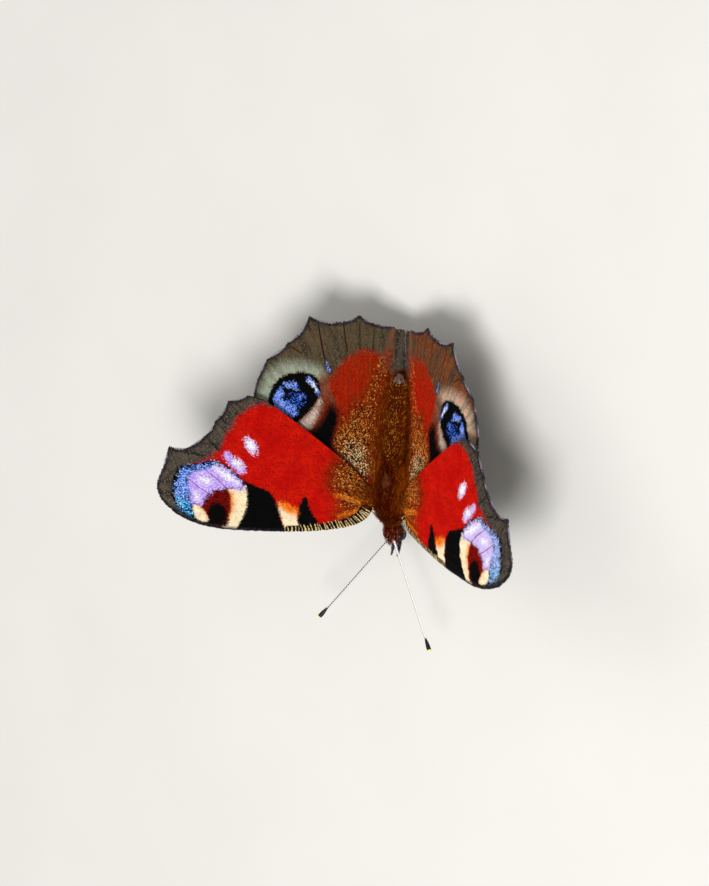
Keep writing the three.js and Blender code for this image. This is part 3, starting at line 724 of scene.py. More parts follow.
@dataclass(frozen=True)
class Wing:
    """A wing over u, out from its hinge, and v, forward along the body, both in mm.

    Attributes:
        name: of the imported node, without its side.
        tilt: degrees that the wing rises outward.
        drop: of its hinge below the forewing's.
        span: over which its upper face arches.
        costa: its front edge, from the root.
        teeth: the points of its outer margin, from the apex.
        sags: how far the margin sags inward from tooth to tooth, as shares of the way.
        root: the edge that is sunk in the thorax.
        veins: its main veins.
        pivot: the place that its rows of scales are centred on.
        markings: of its upper side.
    """

    name: str
    tilt: float
    drop: float
    span: float
    costa: Places
    teeth: Places
    sags: Place
    root: Places
    veins: tuple[Places, ...]
    pivot: Place
    markings: Markings
    camber: float = 0.35
    relief: Relief = Relief()
    low: float = -30.0  # lowest u and v of the nets that hold a wing's fields
    high: float = 36.0
    net: float = 0.1  # their spacing
    skin_step: float = 0.24  # between the points of the skin
    plate_length: Place = (1.6, 2.0)  # of a scale, in rows
    plate_width: Place = (1.15, 1.4)  # of a scale, in pitches
    plate_rise: Place = (0.02, 0.06)  # of its tip off the skin
    fringe_width: Place = (0.05, 0.08)
    outside: float = -9.0  # the depth where there is none of a marking

    def surface(self, at: Array) -> Array:
        """The wing's middle surface in space, at places in u and v."""
        u, v = at.T
        tilt = math.radians(self.tilt)
        arch = self.camber * np.sin(np.pi * np.clip(u / self.span, 0, 1))
        return np.column_stack([HINGE_HALF + u * math.cos(tilt), v, u * math.sin(tilt) + arch - self.drop])

    def normal(self, at: Array) -> Array:
        """The upward normal of the middle surface."""
        step = 0.05
        along_u = self.surface(at + [step, 0]) - self.surface(at - [step, 0])
        along_v = self.surface(at + [0, step]) - self.surface(at - [0, step])
        return unit(np.cross(along_u, along_v))

    def inner_edge(self) -> Array:
        """The edge from the last tooth back to the root."""
        raise NotImplementedError

    @cached_property
    def margin(self) -> Array:
        """The toothed outer margin."""
        steps = 10
        t = (np.arange(steps) / steps)[:, None]
        teeth = np.array(self.teeth)
        ways = np.diff(teeth, axis=0)
        inward = -turned(ways) * np.array(self.sags)[:, None]
        arcs = [a + way * t + sag * 4 * t * (1 - t) for a, way, sag in zip(teeth, ways, inward)]
        return np.vstack([*arcs, teeth[-1:]])

    @cached_property
    def outline(self) -> Array:
        """The whole outline, clockwise from the root of the costa."""
        costa_steps = 90
        costa = curve_through(self.costa, costa_steps)[:-1]
        return np.vstack([costa, self.margin[:-1], self.inner_edge(), self.root])

    @cached_property
    def net_places(self) -> Array:
        """Every place of the nets that hold the wing's fields."""
        line = np.arange(self.low, self.high, self.net)
        return np.stack(np.meshgrid(line, line, indexing="ij"), axis=-1).reshape(-1, 2)

    def raster(self, values: Array) -> Raster:
        """Values at the net's places, to be read anywhere."""
        side = math.isqrt(len(self.net_places))
        return Raster(self.low, self.net, values.reshape(side, side))

    @cached_property
    def inside(self) -> Raster:
        """Depth inside the outline."""
        return self.raster(depth_inside(self.net_places, self.outline))

    @cached_property
    def off_vein(self) -> Raster:
        """Distance from the nearest vein."""
        lines = [curve_through(vein, 3 * len(vein)) for vein in self.veins]
        depths = [depth_of_line(self.net_places, line, 0, 0) for line in lines]
        return self.raster(-np.max(depths, axis=0))

    def face(self, at: Array, side: int, height: Array | float = 0.0) -> Array:
        """Points on one face of the skin, or above it.

        Args:
            at: places in u and v.
            side: 1 for the upper face, -1 for the lower.
            height: mm above that face.

        Returns:
            The points in space.
        """
        relief = self.relief
        off = self.off_vein.read(at)
        full = smooth(self.inside.read(at) / relief.edge_band)
        half = relief.edge_half + (relief.root_half - relief.edge_half) * full
        vein = relief.vein_height * np.exp(-((off / relief.vein_half) ** 2))
        pleat = relief.pleat * (1 - np.exp(-((off / relief.pleat_half) ** 2)))
        lift = side * (half + vein + height) - pleat
        return self.surface(at) + self.normal(at) * lift[:, None]

    def ray(self, at: Array) -> Array:
        """Places as mm round the pivot and out from it, drawn together outward for noise in streaks."""
        streak_radius = 16.0
        streak_stretch = 0.12
        away = at - self.pivot
        angle = np.arctan2(away[:, 1], away[:, 0])
        out = np.hypot(*away.T) * streak_stretch
        return np.column_stack([angle * streak_radius, out, np.zeros(len(at))])

    def mark_depths(self, at: Array, marks: Sequence[Mark]) -> dict[str, Array]:
        """How deep places lie inside each marking.

        Args:
            at: places in u and v.
            marks: the markings asked for.

        Returns:
            The depths by the marking's name, in mm.
        """
        found = {mark: np.full(len(at), self.outside) for mark in marks}
        for mark, *shapes in self.markings:
            if mark in found:
                found[mark] = np.max([found[mark], *(shape.depth(at) for shape in shapes)], axis=0)
        if Mark.EDGE in found:
            found[Mark.EDGE] = np.maximum(found[Mark.EDGE], depth_of_line(at, self.margin, 0.3, 0.3))
        return {mark.value: depth for mark, depth in found.items()}

    def carried(self, at: Array, marks: Sequence[Mark], rng: Rng) -> dict[str, Array]:
        """What the finish reads at places of the wing.

        Args:
            at: places in u and v.
            marks: the markings asked for.
            rng: the random source.

        Returns:
            Values by name: the depths inside the markings, the place, its ray, and its own grain and stray.
        """
        return {
            **self.mark_depths(at, marks),
            "place": np.column_stack([at, np.zeros(len(at))]),
            "ray": self.ray(at),
            "grain": rng.random(len(at)),
            "stray": rng.uniform(-0.5, 0.5, len(at)),
        }

    def unwrap(self, at: Array) -> Array:
        """Where places lie on the wing's unwrap, which spreads it over the whole square."""
        low = self.outline.min(axis=0) - 1
        high = self.outline.max(axis=0) + 1
        return (at - low) / (high - low)

    def skin(self, rng: Rng) -> Shape:
        """The wing's closed skin: two faces with the veins raised in both, and a rim.

        Args:
            rng: the random source.

        Returns:
            The skin, whose upper face has the first finish and whose lower face and rim have the second.
        """
        step = self.skin_step
        rows = np.arange(self.low, self.high, step * math.sin(math.pi / 3))
        line = np.arange(self.low, self.high, step)
        shifts = [step / 2 * (number % 2) for number in range(len(rows))]
        net = np.vstack([
            np.column_stack([line + shift, np.full(len(line), v)]) for shift, v in zip(shifts, rows)
        ])
        uneven = 0.1
        net = net + rng.uniform(-uneven, uneven, net.shape) * step
        net = net[self.inside.read(net) > 0.6 * step]
        outline = self.outline
        loop = list(range(len(outline)))
        knots = [Vector(place) for place in np.vstack([outline, net])]
        places, _, triangles, *_ = delaunay_2d_cdt(knots, [], [loop], 1, 1e-5)
        at = np.array([tuple(p) for p in places])
        faces = np.array([tuple(t) for t in triangles])
        corners = at[faces]
        first = corners[:, 1] - corners[:, 0]
        second = corners[:, 2] - corners[:, 0]
        flipped = first[:, 0] * second[:, 1] < first[:, 1] * second[:, 0]
        faces[flipped] = faces[flipped][:, ::-1]
        count = len(at)
        edges = np.vstack([faces[:, [0, 1]], faces[:, [1, 2]], faces[:, [2, 0]]])
        keys = {(a, b) for a, b in edges.tolist()}
        rim = np.array([(a, b) for a, b in keys if (b, a) not in keys])
        a, b = rim.T
        walls = np.vstack([np.column_stack([b, a, a + count]), np.column_stack([b, a + count, b + count])])
        marks = self.carried(at, list(Mark), rng)
        marks["tip"] = np.full(count, 0.6)
        upper, lower = np.zeros(len(faces), int), np.ones(len(faces) + len(walls), int)
        return Shape(
            points=np.vstack([self.face(at, 1), self.face(at, -1)]),
            faces=np.vstack([faces, faces[:, ::-1] + count, walls]),
            marks={name: np.concatenate([values, values]) for name, values in marks.items()},
            slots=np.concatenate([upper, lower]),
        )

    def lay_plates(
        self, side: int, roots: Array, heads: Array, sizes: Array, rise: Array, rng: Rng
    ) -> Shape:
        """Lay closed scale plates on one face of the skin.

        Args:
            side: 1 for the upper face, -1 for the lower.
            roots: their roots in u and v.
            heads: the directions that they point in.
            sizes: the length and width of each.
            rise: how far each one's tip stands off the skin.
            rng: the random source.

        Returns:
            The plates as one shape.
        """
        rim = np.array([(0, 0), (0.35, -0.5), (0.93, -0.36), (0.93, 0.36), (0.35, 0.5), (0.58, 0)])
        levels = np.array([-0.03, 0.012, 0.0, 0.0, 0.012, 0.035])
        climb = np.array([0, 0.3, 1, 1, 0.3, 0.75])
        corners = len(rim)
        across = turned(heads)
        along_part = heads[:, None, :] * (rim[None, :, :1] * sizes[:, None, :1])
        across_part = across[:, None, :] * (rim[None, :, 1:] * sizes[:, None, 1:])
        at = (roots[:, None, :] + along_part + across_part).reshape(-1, 2)
        height = (levels + climb * rise[:, None]).ravel()
        top = [(5, k, (k + 1) % 5) for k in range(5)]
        plate = np.array(top + [(0, 2, 1), (0, 3, 2), (0, 4, 3)])
        faces = (plate[None] + corners * np.arange(len(roots))[:, None, None]).reshape(-1, 3)
        if side < 0:
            faces = faces[:, ::-1]
        coarse = [mark for mark in Mark if mark not in FINE_MARKS]
        marks = self.carried(roots, coarse, rng)
        marks = {name: np.repeat(values, corners, axis=0) for name, values in marks.items()}
        marks.update(self.mark_depths(at, FINE_MARKS))
        marks["tip"] = np.tile(rim[:, 0], len(roots))
        patch = np.tile((rim - [0.5, 0]) * UV_PATCH, (len(roots), 1))
        uv = np.repeat(self.unwrap(roots), corners, axis=0) + patch
        return Shape(self.face(at, side, height), faces, marks, uv)

    def scale_rows(self, row: float, pitch: float, rng: Rng) -> tuple[Array, Array]:
        """Roots of scales in rows round the pivot, and the ways that they point.

        Args:
            row: mm between rows.
            pitch: mm between scales in a row.
            rng: the random source.

        Returns:
            The roots in u and v, and their directions.
        """
        reach = 42.0
        jitter = 0.22
        turn_spread = 0.1
        places = []
        for number, radius in enumerate(np.arange(row, reach, row)):
            count = int(2 * math.pi * radius / pitch)
            angle = (np.arange(count) + 0.5 * (number % 2)) * 2 * math.pi / count
            places.append(np.column_stack([np.cos(angle), np.sin(angle)]) * radius)
        out = np.vstack(places)
        roots = out + self.pivot + rng.uniform(-jitter, jitter, out.shape) * pitch
        ways = unit(out)
        heads = unit(ways + turned(ways) * rng.normal(0, turn_spread, (len(out), 1)))
        shown = self.inside.read(roots) > 0.02
        shown &= ~buried(self.surface(roots))
        return roots[shown], heads[shown]

    def coat(self, side: int, row: float, pitch: float, rng: Rng) -> Shape:
        """The scales of one face, in overlapping rows.

        Args:
            side: 1 for the upper face, -1 for the lower.
            row: mm between rows.
            pitch: mm between scales in a row.
            rng: the random source.

        Returns:
            The scales as one shape.
        """
        roots, heads = self.scale_rows(row, pitch, rng)
        count = len(roots)
        long = row * rng.uniform(*self.plate_length, count)
        sizes = np.column_stack([long, pitch * rng.uniform(*self.plate_width, count)])
        rise = rng.uniform(*self.plate_rise, count)
        return self.lay_plates(side, roots, heads, sizes, rise, rng)

    def fringe(self, rng: Rng) -> Shape:
        """The long narrow scales that stand out from the outer margin, in two layers.

        Args:
            rng: the random source.

        Returns:
            The scales as one shape, with hollow (0 at a tooth and 1 between teeth) on its points.
        """
        spacing = 0.055
        reach = 0.6  # each way over which the margin's direction is taken
        short, more = 0.34, 0.2  # length at a tooth, and what it gains between teeth
        sunk = 0.12
        shapes = []
        for side in (1, -1):
            wanted = np.arange(0, lengths(self.margin)[-1], spacing)
            wanted = wanted + rng.uniform(0, spacing, len(wanted))
            roots, ahead, behind = (places_along(self.margin, wanted + step) for step in (0, reach, -reach))
            way = unit(ahead - behind)
            heads = unit(turned(way) + way * rng.normal(0, 0.16, len(way))[:, None])
            tooth = np.min([np.hypot(*(roots - t).T) for t in self.teeth], axis=0)
            count = len(roots)
            long = (short + more * smooth(tooth / 2)) * rng.uniform(0.8, 1.15, count)
            sizes = np.column_stack([long, rng.uniform(*self.fringe_width, count)])
            shape = self.lay_plates(side, roots - heads * sunk, heads, sizes, np.zeros(count), rng)
            shape.marks = {name: shape.marks[name] for name in ("place", "grain", "stray", "tip")}
            shape.marks["hollow"] = np.repeat(smooth(tooth / 1.6), len(shape.points) // count)
            shapes.append(shape)
        return joined(shapes)


@dataclass(frozen=True)
class Forewing(Wing):
    """The forewing, whose front edge curls down towards the root."""

    name: str = "forewing"
    tilt: float = 27.6
    drop: float = 0.0
    span: float = 31.0
    costa: Places = (
        (0.7, -0.3), (1.7, 1.2), (4.2, 2.65), (9, 3.65), (16, 4.15), (22.5, 4), (27, 2.9), (29.8, 0.9),
        (30.7, -0.9),
    )
    teeth: Places = (
        (30.7, -0.9), (30.2, -3.3), (29.3, -6.9), (26.6, -6.95), (24.1, -8.9), (22.7, -11.1), (21.1, -14),
        (18.2, -15),
    )
    sags: Place = (-0.06, 0.04, 0.13, 0.06, 0.08, 0.08, 0.07)
    root: Places = ((-0.4, -2.3), (-0.4, -0.8))
    veins: tuple[Places, ...] = (
        ((1.5, -0.2), (4.5, 1.2), (8, 2.3), (12, 3.1), (15.2, 3.7)),
        ((1.5, -0.8), (6, 0.6), (11, 1.7), (16, 2.6), (20.5, 3.1), (24.5, 3.2)),
        ((15.2, 2.4), (19, 2.2), (23, 1.4), (27, -0.4), (29.9, -3.1)),
        ((14.6, 1.1), (19, 0.8), (22.8, -0.5), (26.5, -3.1), (29.1, -6.3)),
        ((14.9, 0), (17.5, -0.6), (20.2, -1.8), (23.5, -4.1), (26.4, -6.5)),
        ((1.4, -1.4), (5, -1.9), (9, -2.5), (13.6, -2.2), (17, -2.7), (20.2, -4.7), (22.4, -6.9),
         (23.8, -8.6)),
        ((11.4, -2.9), (15, -4.6), (19, -7.5), (22.4, -10.8)),
        ((7.6, -2.9), (12, -5.6), (17, -9.9), (20.8, -13.6)),
        ((1.4, -2.1), (5, -4.8), (10, -8.7), (14.5, -12.1), (17.8, -14.5)),
    )
    pivot: Place = (-3.0, -0.5)
    markings: Markings = FORE_MARKINGS
    inner: Places = (
        (18.2, -15), (15.3, -14.1), (11.2, -11.5), (7, -8.5), (3.6, -5.9), (1.4, -3.4), (0.7, -2.6),
    )
    droop: float = 1.7
    droop_end: float = 22.0
    droop_start: float = -2.0
    droop_width: float = 5.5

    def surface(self, at: Array) -> Array:
        """The middle surface, with the front edge curled down most at the root."""
        points = super().surface(at)
        u, v = at.T
        outward = 1 - np.clip(u / self.droop_end, 0, 1) ** 2
        points[:, 2] -= self.droop * outward * np.clip((v - self.droop_start) / self.droop_width, 0, 1) ** 2
        return points

    def inner_edge(self) -> Array:
        """The edge from the last tooth back to the root."""
        return curve_through(self.inner, 90)

    def mark_depths(self, at: Array, marks: Sequence[Mark]) -> dict[str, Array]:
        """The markings of any wing, and the short cream dashes across the dark front edge."""
        found = super().mark_depths(at, marks)
        if Mark.DASH not in marks:
            return found
        dashes = 30
        costa_steps = 400
        edge = curve_through(self.costa, costa_steps)
        way = unit(np.gradient(edge, axis=0))
        inward = -turned(way)
        ends = np.searchsorted(edge[:, 0], (1.0, 13.1))
        reach = np.interp(np.arange(len(edge)), ends, (1.7, 0.95))
        strip = edge + inward * (reach / 2 - 0.1)[:, None]
        found[Mark.LADDER.value] = depth_of_line(at, strip[ends[0] : ends[1] : 8], 0.85, 0.5)
        deepest = np.full(len(at), self.outside)
        sway = np.random.default_rng(3)
        for k in np.linspace(*ends, dashes).astype(int):
            slant = sway.uniform(-0.25, 0.1)
            start = edge[k] - inward[k] * 0.1
            end = edge[k] + inward[k] * reach[k] * sway.uniform(0.7, 1.1) + way[k] * slant
            depth = depth_of_line(at, np.array([start, end]), sway.uniform(0.06, 0.14), 0.05)
            deepest = np.maximum(deepest, depth)
        found[Mark.DASH.value] = deepest
        return found


@dataclass(frozen=True)
class Hindwing(Wing):
    """The hindwing, whose inner part turns down beside the abdomen from a crease."""

    name: str = "hindwing"
    tilt: float = 26.0
    drop: float = 1.18
    span: float = 20.0
    costa: Places = ((0.9, -2.8), (2.5, -3), (7, -4.7), (12, -7.3), (16, -10), (18, -12.4), (18.4, -14.4))
    teeth: Places = (
        (18.4, -14.4), (17.8, -17.4), (16.8, -19.9), (13.9, -22.4), (11.1, -26.4), (6.4, -25.95),
        (4.3, -27), (2.2, -25.9), (0.2, -25.7),
    )
    sags: Place = (-0.05, 0.02, 0.07, 0.1, 0.11, 0.09, 0.08, 0.04)
    root: Places = ((0.9, -5.4), (0.1, -4.9), (0.1, -3.4))
    veins: tuple[Places, ...] = (
        ((1.6, -3.7), (7, -5.9), (13, -9.2), (17.9, -13.6)),
        ((1.6, -4.3), (6, -7.3), (12, -12), (17.3, -16.9)),
        ((6.4, -8.2), (9, -11.8), (13, -16.2), (16.4, -19.4)),
        ((6.4, -10), (10.4, -15.8), (13.6, -21.9)),
        ((6.1, -11.3), (8.3, -18.5), (9.4, -22.6), (10.8, -25.8)),
        ((1.5, -4.9), (3.7, -9.3), (5, -12), (5.7, -18.5), (6.3, -25.4)),
        ((3.4, -10.5), (4, -18), (4.3, -26.4)),
        ((1.3, -5.6), (2.3, -10), (2.4, -18), (2.3, -25.3)),
    )
    pivot: Place = (0.5, -2.0)
    markings: Markings = HIND_MARKINGS
    crease_front: float = -7.0  # the crease's ends, and where it lies in u there
    crease_rear: float = -26.0
    crease_from: float = 2.05
    crease_to: float = -1.13
    crease_curve: float = 1.8
    bend_front: float = 62.0  # degrees that the inner part turns down
    bend_rear: float = 50.0
    edge_rear: float = 0.03  # from the midline to the inner edge behind the abdomen
    edge_gap: float = -0.3  # from the abdomen's side out to the inner edge, which lies lower
    edge_start: float = -25.2
    edge_end: float = -6.6

    def crease(self, v: Array) -> tuple[Array, Array, Array]:
        """The crease and the arc down from it.

        Args:
            v: places along the body.

        Returns:
            The crease's u, the arc's radius and the arc's length.
        """
        t = np.clip((self.crease_front - v) / (self.crease_front - self.crease_rear), 0, 1)
        u = self.crease_from + (self.crease_to - self.crease_from) * t**self.crease_curve
        bend = np.radians(self.bend_front + (self.bend_rear - self.bend_front) * smooth((t - 0.35) / 0.5))
        gap = self.edge_gap * (1 - smooth((t - 0.6) / 0.25))
        edge = np.maximum(self.edge_rear, ABDOMEN.half(v) + gap)
        tilt = math.radians(self.tilt)
        start = super().surface(np.column_stack([u, v]))[:, 0]
        radius = (start - edge) / (np.sin(bend) - math.sin(tilt))
        return u, radius, radius * (bend - tilt)

    def surface(self, at: Array) -> Array:
        """The middle surface, whose inner part turns down past the crease."""
        u, v = at.T
        fold, radius, _ = self.crease(v)
        points = super().surface(np.column_stack([np.maximum(u, fold), v]))
        tilt = math.radians(self.tilt)
        angle = tilt + np.maximum(fold - u, 0) / radius
        points[:, 0] -= radius * (np.sin(angle) - math.sin(tilt))
        points[:, 2] -= radius * (math.cos(tilt) - np.cos(angle))
        return points

    def inner_edge(self) -> Array:
        """The edge from behind the abdomen forward to the root."""
        v = np.linspace(self.edge_start, self.edge_end, 76)
        fold, _, length = self.crease(v)
        return np.vstack([self.teeth[-1:], np.column_stack([fold - length, v])])


@dataclass(frozen=True)
class Egg:
    """A rounded form along the body: its middle, half sizes, and how blunt its ends are."""

    y: float
    z: float
    half_length: float
    half_width: float
    half_height: float
    blunt: float

    def girth(self, y: Array) -> Array:
        """The share of its full girth at y."""
        share = np.clip(np.abs(y - self.y) / self.half_length, 0, 1)
        return (1 - share**self.blunt) ** (1 / self.blunt)


@dataclass(frozen=True)
class Abdomen:
    """The abdomen: where it lies, its girth and its segments."""

    front: float = -6.2
    tip: float = -19.3
    z_front: float = -0.7
    z_tip: float = -1.5
    radius: float = 1.62
    waist: float = 1.25
    flat: float = 0.95
    segments: int = 8
    groove: float = 0.07

    def share(self, y: Array) -> Array:
        """The share of the way from its front to its tip."""
        return np.clip((self.front - y) / (self.front - self.tip), 0, 1)

    def half(self, y: Array) -> Array:
        """Half its width at y."""
        t = self.share(y)
        swell = self.waist + (self.radius - self.waist) * smooth(t / 0.35)
        return swell * np.sqrt(1 - np.clip((t - 0.42) / 0.58, 0, 1) ** 2.2)

    def middle(self, y: Array) -> Array:
        """Height of its middle at y."""
        return self.z_front + (self.z_tip - self.z_front) * self.share(y) ** 2


THORAX = Egg(-2.7, -1.05, 4.4, 2.7, 2.3, 2.2)
HEAD = Egg(3.0, -1.9, 1.7, 1.2, 1.25, 2.0)
NECK = Egg(1.7, -1.4, 1.7, 1.0, 1.0, 2.6)
ABDOMEN = Abdomen()


def buried(points: Array) -> Array:
    """Whether points lie inside the thorax."""
    below_hair = 0.86
    x, y, z = points.T
    away = np.hypot(x / THORAX.half_width, (z - THORAX.z) / THORAX.half_height)
    return away < below_hair * THORAX.girth(y)


def tube(path: Array, radii: Array, sides: int, flat: Array | float = 1.0) -> Shape:
    """A closed round body along a path.

    Args:
        path: the middles of its rings. The first and last are its poles.
        radii: the radius of each ring.
        sides: the points in a ring.
        flat: each ring's height as a share of its width.

    Returns:
        The body, with along (mm from the start) and around (0 to 1) on its points.
    """
    way = unit(np.gradient(path, axis=0))
    level = np.cross(way, [0, 0, 1])
    weak = np.linalg.norm(level, axis=1) < 0.05
    level[weak] = np.cross(way[weak], [0, 1, 0])
    side = unit(level)
    up = np.cross(side, way)
    angle = np.arange(sides) * 2 * math.pi / sides
    tall = up * np.reshape(flat, (-1, 1))
    ring = side[:, None] * np.cos(angle)[:, None] + tall[:, None] * np.sin(angle)[:, None]
    inner = slice(1, -1)
    body = (path[:, None] + ring * radii[:, None, None])[inner].reshape(-1, 3)
    rings = len(path) - 2
    row = np.arange(rings - 1)[:, None] * sides
    here = np.arange(sides)
    there = (here + 1) % sides
    a, b, c, d = (x.ravel() for x in (row + here, row + there, row + sides + there, row + sides + here))
    pole, end = rings * sides, rings * sides + 1
    last = (rings - 1) * sides
    caps = [np.column_stack([np.full(sides, pole), here, there]),
            np.column_stack([np.full(sides, end), last + there, last + here])]
    faces = np.vstack([np.column_stack([a, c, b]), np.column_stack([a, d, c]), *caps])
    length = lengths(path)
    along = np.concatenate([np.repeat(length[inner], sides), [0, length[-1]]])
    around = np.concatenate([np.tile(angle / (2 * math.pi), rings), [0, 0]])
    return Shape(
        np.vstack([body, path[:1], path[-1:]]), faces, {"along": along, "around": around},
        np.column_stack([around, along / length[-1]]),
    )


@dataclass(frozen=True)
class Lock:
    """A tapered, bent lock of hair.

    Attributes:
        length: the shortest and longest, in mm.
        width: at its root.
        flat: its thickness as a share of its width.
        rise: how steeply it leaves the skin, against its way along it.
        droop: how far it bends back down towards its tip.
        sway: how far the locks differ in direction.
        steps: lengths of facets from root to tip.
    """

    length: Place
    width: float
    flat: float = 0.5
    rise: float = 0.5
    droop: float = 0.5
    sway: float = 0.25
    steps: int = 3

    def grow(self, roots: Array, normals: Array, lie: Array, uv: Array, rng: Rng,
             marks: dict[str, Array] | None = None, sizes: Array | float = 1.0) -> Shape:
        """Grow a lock from each root.

        Args:
            roots: places on the skin.
            normals: of the skin there.
            lie: the ways that the coat lies.
            uv: the roots' places on the skin's unwrap.
            rng: the random source.
            marks: values for each lock.
            sizes: of each lock against the others.

        Returns:
            The locks as one shape, with tip (0 at the root) and grain on its points.
        """
        count = len(roots)
        lie = unit(lie + rng.normal(0, self.sway, lie.shape))
        lie = unit(lie - normals * np.sum(lie * normals, axis=1, keepdims=True))
        leave = unit(lie + normals * (self.rise * rng.uniform(0.6, 1.4, (count, 1))))
        arrive = unit(lie + normals * ((self.rise - self.droop) * rng.uniform(0.6, 1.4, (count, 1))))
        side = unit(np.cross(leave, normals))
        over = np.cross(side, leave)
        length = (rng.uniform(*self.length, count) * sizes)[:, None]
        bow = side * rng.normal(0, 0.12, (count, 1)) * length
        start = roots - normals * 0.06
        rings = []
        corner = np.arange(3) * 2 * math.pi / 3 + math.pi / 6
        for step in range(self.steps):
            s = step / self.steps
            middle = start + length * (leave * s + (arrive - leave) * s * s / 2) + bow * s * s
            wide = self.width * np.broadcast_to(sizes, (count,)) * (1 - s**2) * (0.75 + 0.5 * s)
            flat = over[:, None] * self.flat
            ring = side[:, None] * np.cos(corner)[:, None] + flat * np.sin(corner)[:, None]
            rings.append(middle[:, None] + ring * (wide / 2)[:, None, None])
        top = start + length * (leave + (arrive - leave) / 2) + bow
        points = np.concatenate([*rings, top[:, None]], axis=1)
        corners = points.shape[1]
        faces = [(0, 1, 2)]
        for step in range(self.steps - 1):
            for k in range(3):
                a, b = 3 * step + k, 3 * step + (k + 1) % 3
                faces += [(a, b + 3, b), (a, a + 3, b + 3)]
        faces += [(corners - 4 + (k + 1) % 3, corners - 4 + k, corners - 1) for k in range(3)]
        every = (np.array(faces)[None] + corners * np.arange(count)[:, None, None]).reshape(-1, 3)
        tip = np.append(np.repeat(np.arange(self.steps) / self.steps, 3), 1.0)
        spread = np.append(np.tile(np.cos(corner) / 2, self.steps), 0.0)
        patch = np.column_stack([spread, tip - 0.5]) * UV_PATCH
        carried = {"grain": rng.random(count), **(marks or {})}
        carried = {name: np.repeat(values, corners, axis=0) for name, values in carried.items()}
        carried["tip"] = np.tile(tip, count)
        unwrapped = np.repeat(uv, corners, axis=0) + np.tile(patch, (count, 1))
        return Shape(points.reshape(-1, 3), every, carried, unwrapped)


def per_mm(size: float) -> float:
    """The texture scale at which one cell of a pattern measures size mm."""
    return 1 / (size * MM)


@dataclass(frozen=True)
class Finish:
    """The surface of a real material.

    Attributes:
        name: of the material.
        roughness: of its surface.
        ior: its index of refraction.
        mirror: 0.5 for a whole surface, and less where its ribs or pits trap part of what it mirrors.
    """

    reads: ClassVar[tuple[str, ...]] = ()  # the values on the mesh that surface gets
    name: str
    _: KW_ONLY
    roughness: float = 0.5
    ior: float = 1.56
    mirror: float = 0.2

    def surface(self, add: AddNode, *marks: Socket) -> Inputs:
        """What the shader's inputs get.

        Args:
            add: adds a node to the tree.
            marks: the values on the mesh that reads names.

        Returns:
            An output, a colour or a number for each input.
        """
        raise NotImplementedError

    @cached_property
    def material(self) -> bpy.types.Material:
        """The material, made when a piece first asks for it."""
        material = bpy.data.materials.new(self.name)
        material.use_nodes = True
        tree = material.node_tree
        add = partial(add_node, tree)
        marks = [add("Attribute", output="Fac", attribute_name=mark) for mark in self.reads]
        gloss = {"Roughness": self.roughness, "IOR": self.ior, "Specular IOR Level": self.mirror}
        feed(tree, tree.nodes["Principled BSDF"], {**gloss, **self.surface(add, *marks)})
        return material


@dataclass(frozen=True)
class UpperWingScales(Finish):
    """Chitin wing scales coloured by pigment, and by their fine layers where they are blue.

    Dry and matt, with a faint silky gloss. Each scale has one colour, so that the markings break up into a
    mosaic at their edges, and painted shade darkens it towards its root, where the scale before it lies over
    it.
    """

    reads = ("grain", "stray", "tip")
    name: str = "chitin wing scales"
    red: str = "#C80800"
    bright_red: str = "#D61A02"
    dark_red: str = "#B40600"
    dark_share: float = 0.3
    roughness: float = 0.62
    mirror: float = 0.06
    cloud: float = 3.5  # mm across a cloud of brighter red
    band: float = 0.9  # mm across a paler or darker patch of any colour
    streak: float = 0.5  # mm across a streak

    def surface(self, add: AddNode, grain: Socket, stray: Socket, tip: Socket) -> Inputs:
        """Its red with every marking over it."""
        place, ray = (add("Attribute", output="Vector", attribute_name=mark) for mark in ("place", "ray"))
        cloud, bands, streaks = (
            add("TexNoise", {"Vector": where, "Scale": 1 / size, "Detail": detail})
            for where, size, detail in (
                (place, self.cloud, 3.0), (place, self.band, 2.0), (ray, self.streak, 2.0)
            )
        )
        clouded, streaked = (
            add("MapRange", (noise, low, high))
            for noise, low, high in ((cloud, 0.4, 0.65), (streaks, 0.42, 0.64))
        )
        darker = add("Math", (grain, self.dark_share), operation="LESS_THAN")
        colour = self.red
        for share, layer in ((clouded, self.bright_red), (darker, self.dark_red)):
            colour = add("Mix", {0: share, 6: colour, 7: layer}, 2, data_type="RGBA")
        for paint in UPPER_PAINTS:
            colour = paint.over(add, colour, grain, stray, streaked)
        # painted shade: each scale darker towards its root, where the scale before it covers it; then a
        # random tone for each scale and each patch
        shades = (tip, 0.0, 0.7, 0.7, 1.08), (stray, -0.5, 0.5, 0.86, 1.08), (bands, 0.3, 0.7, 0.88, 1.1)
        for ranges in shades:
            shade = add("MapRange", ranges)
            colour = add("VectorMath", {0: colour, "Scale": shade}, operation="SCALE")
        return {"Base Color": colour}


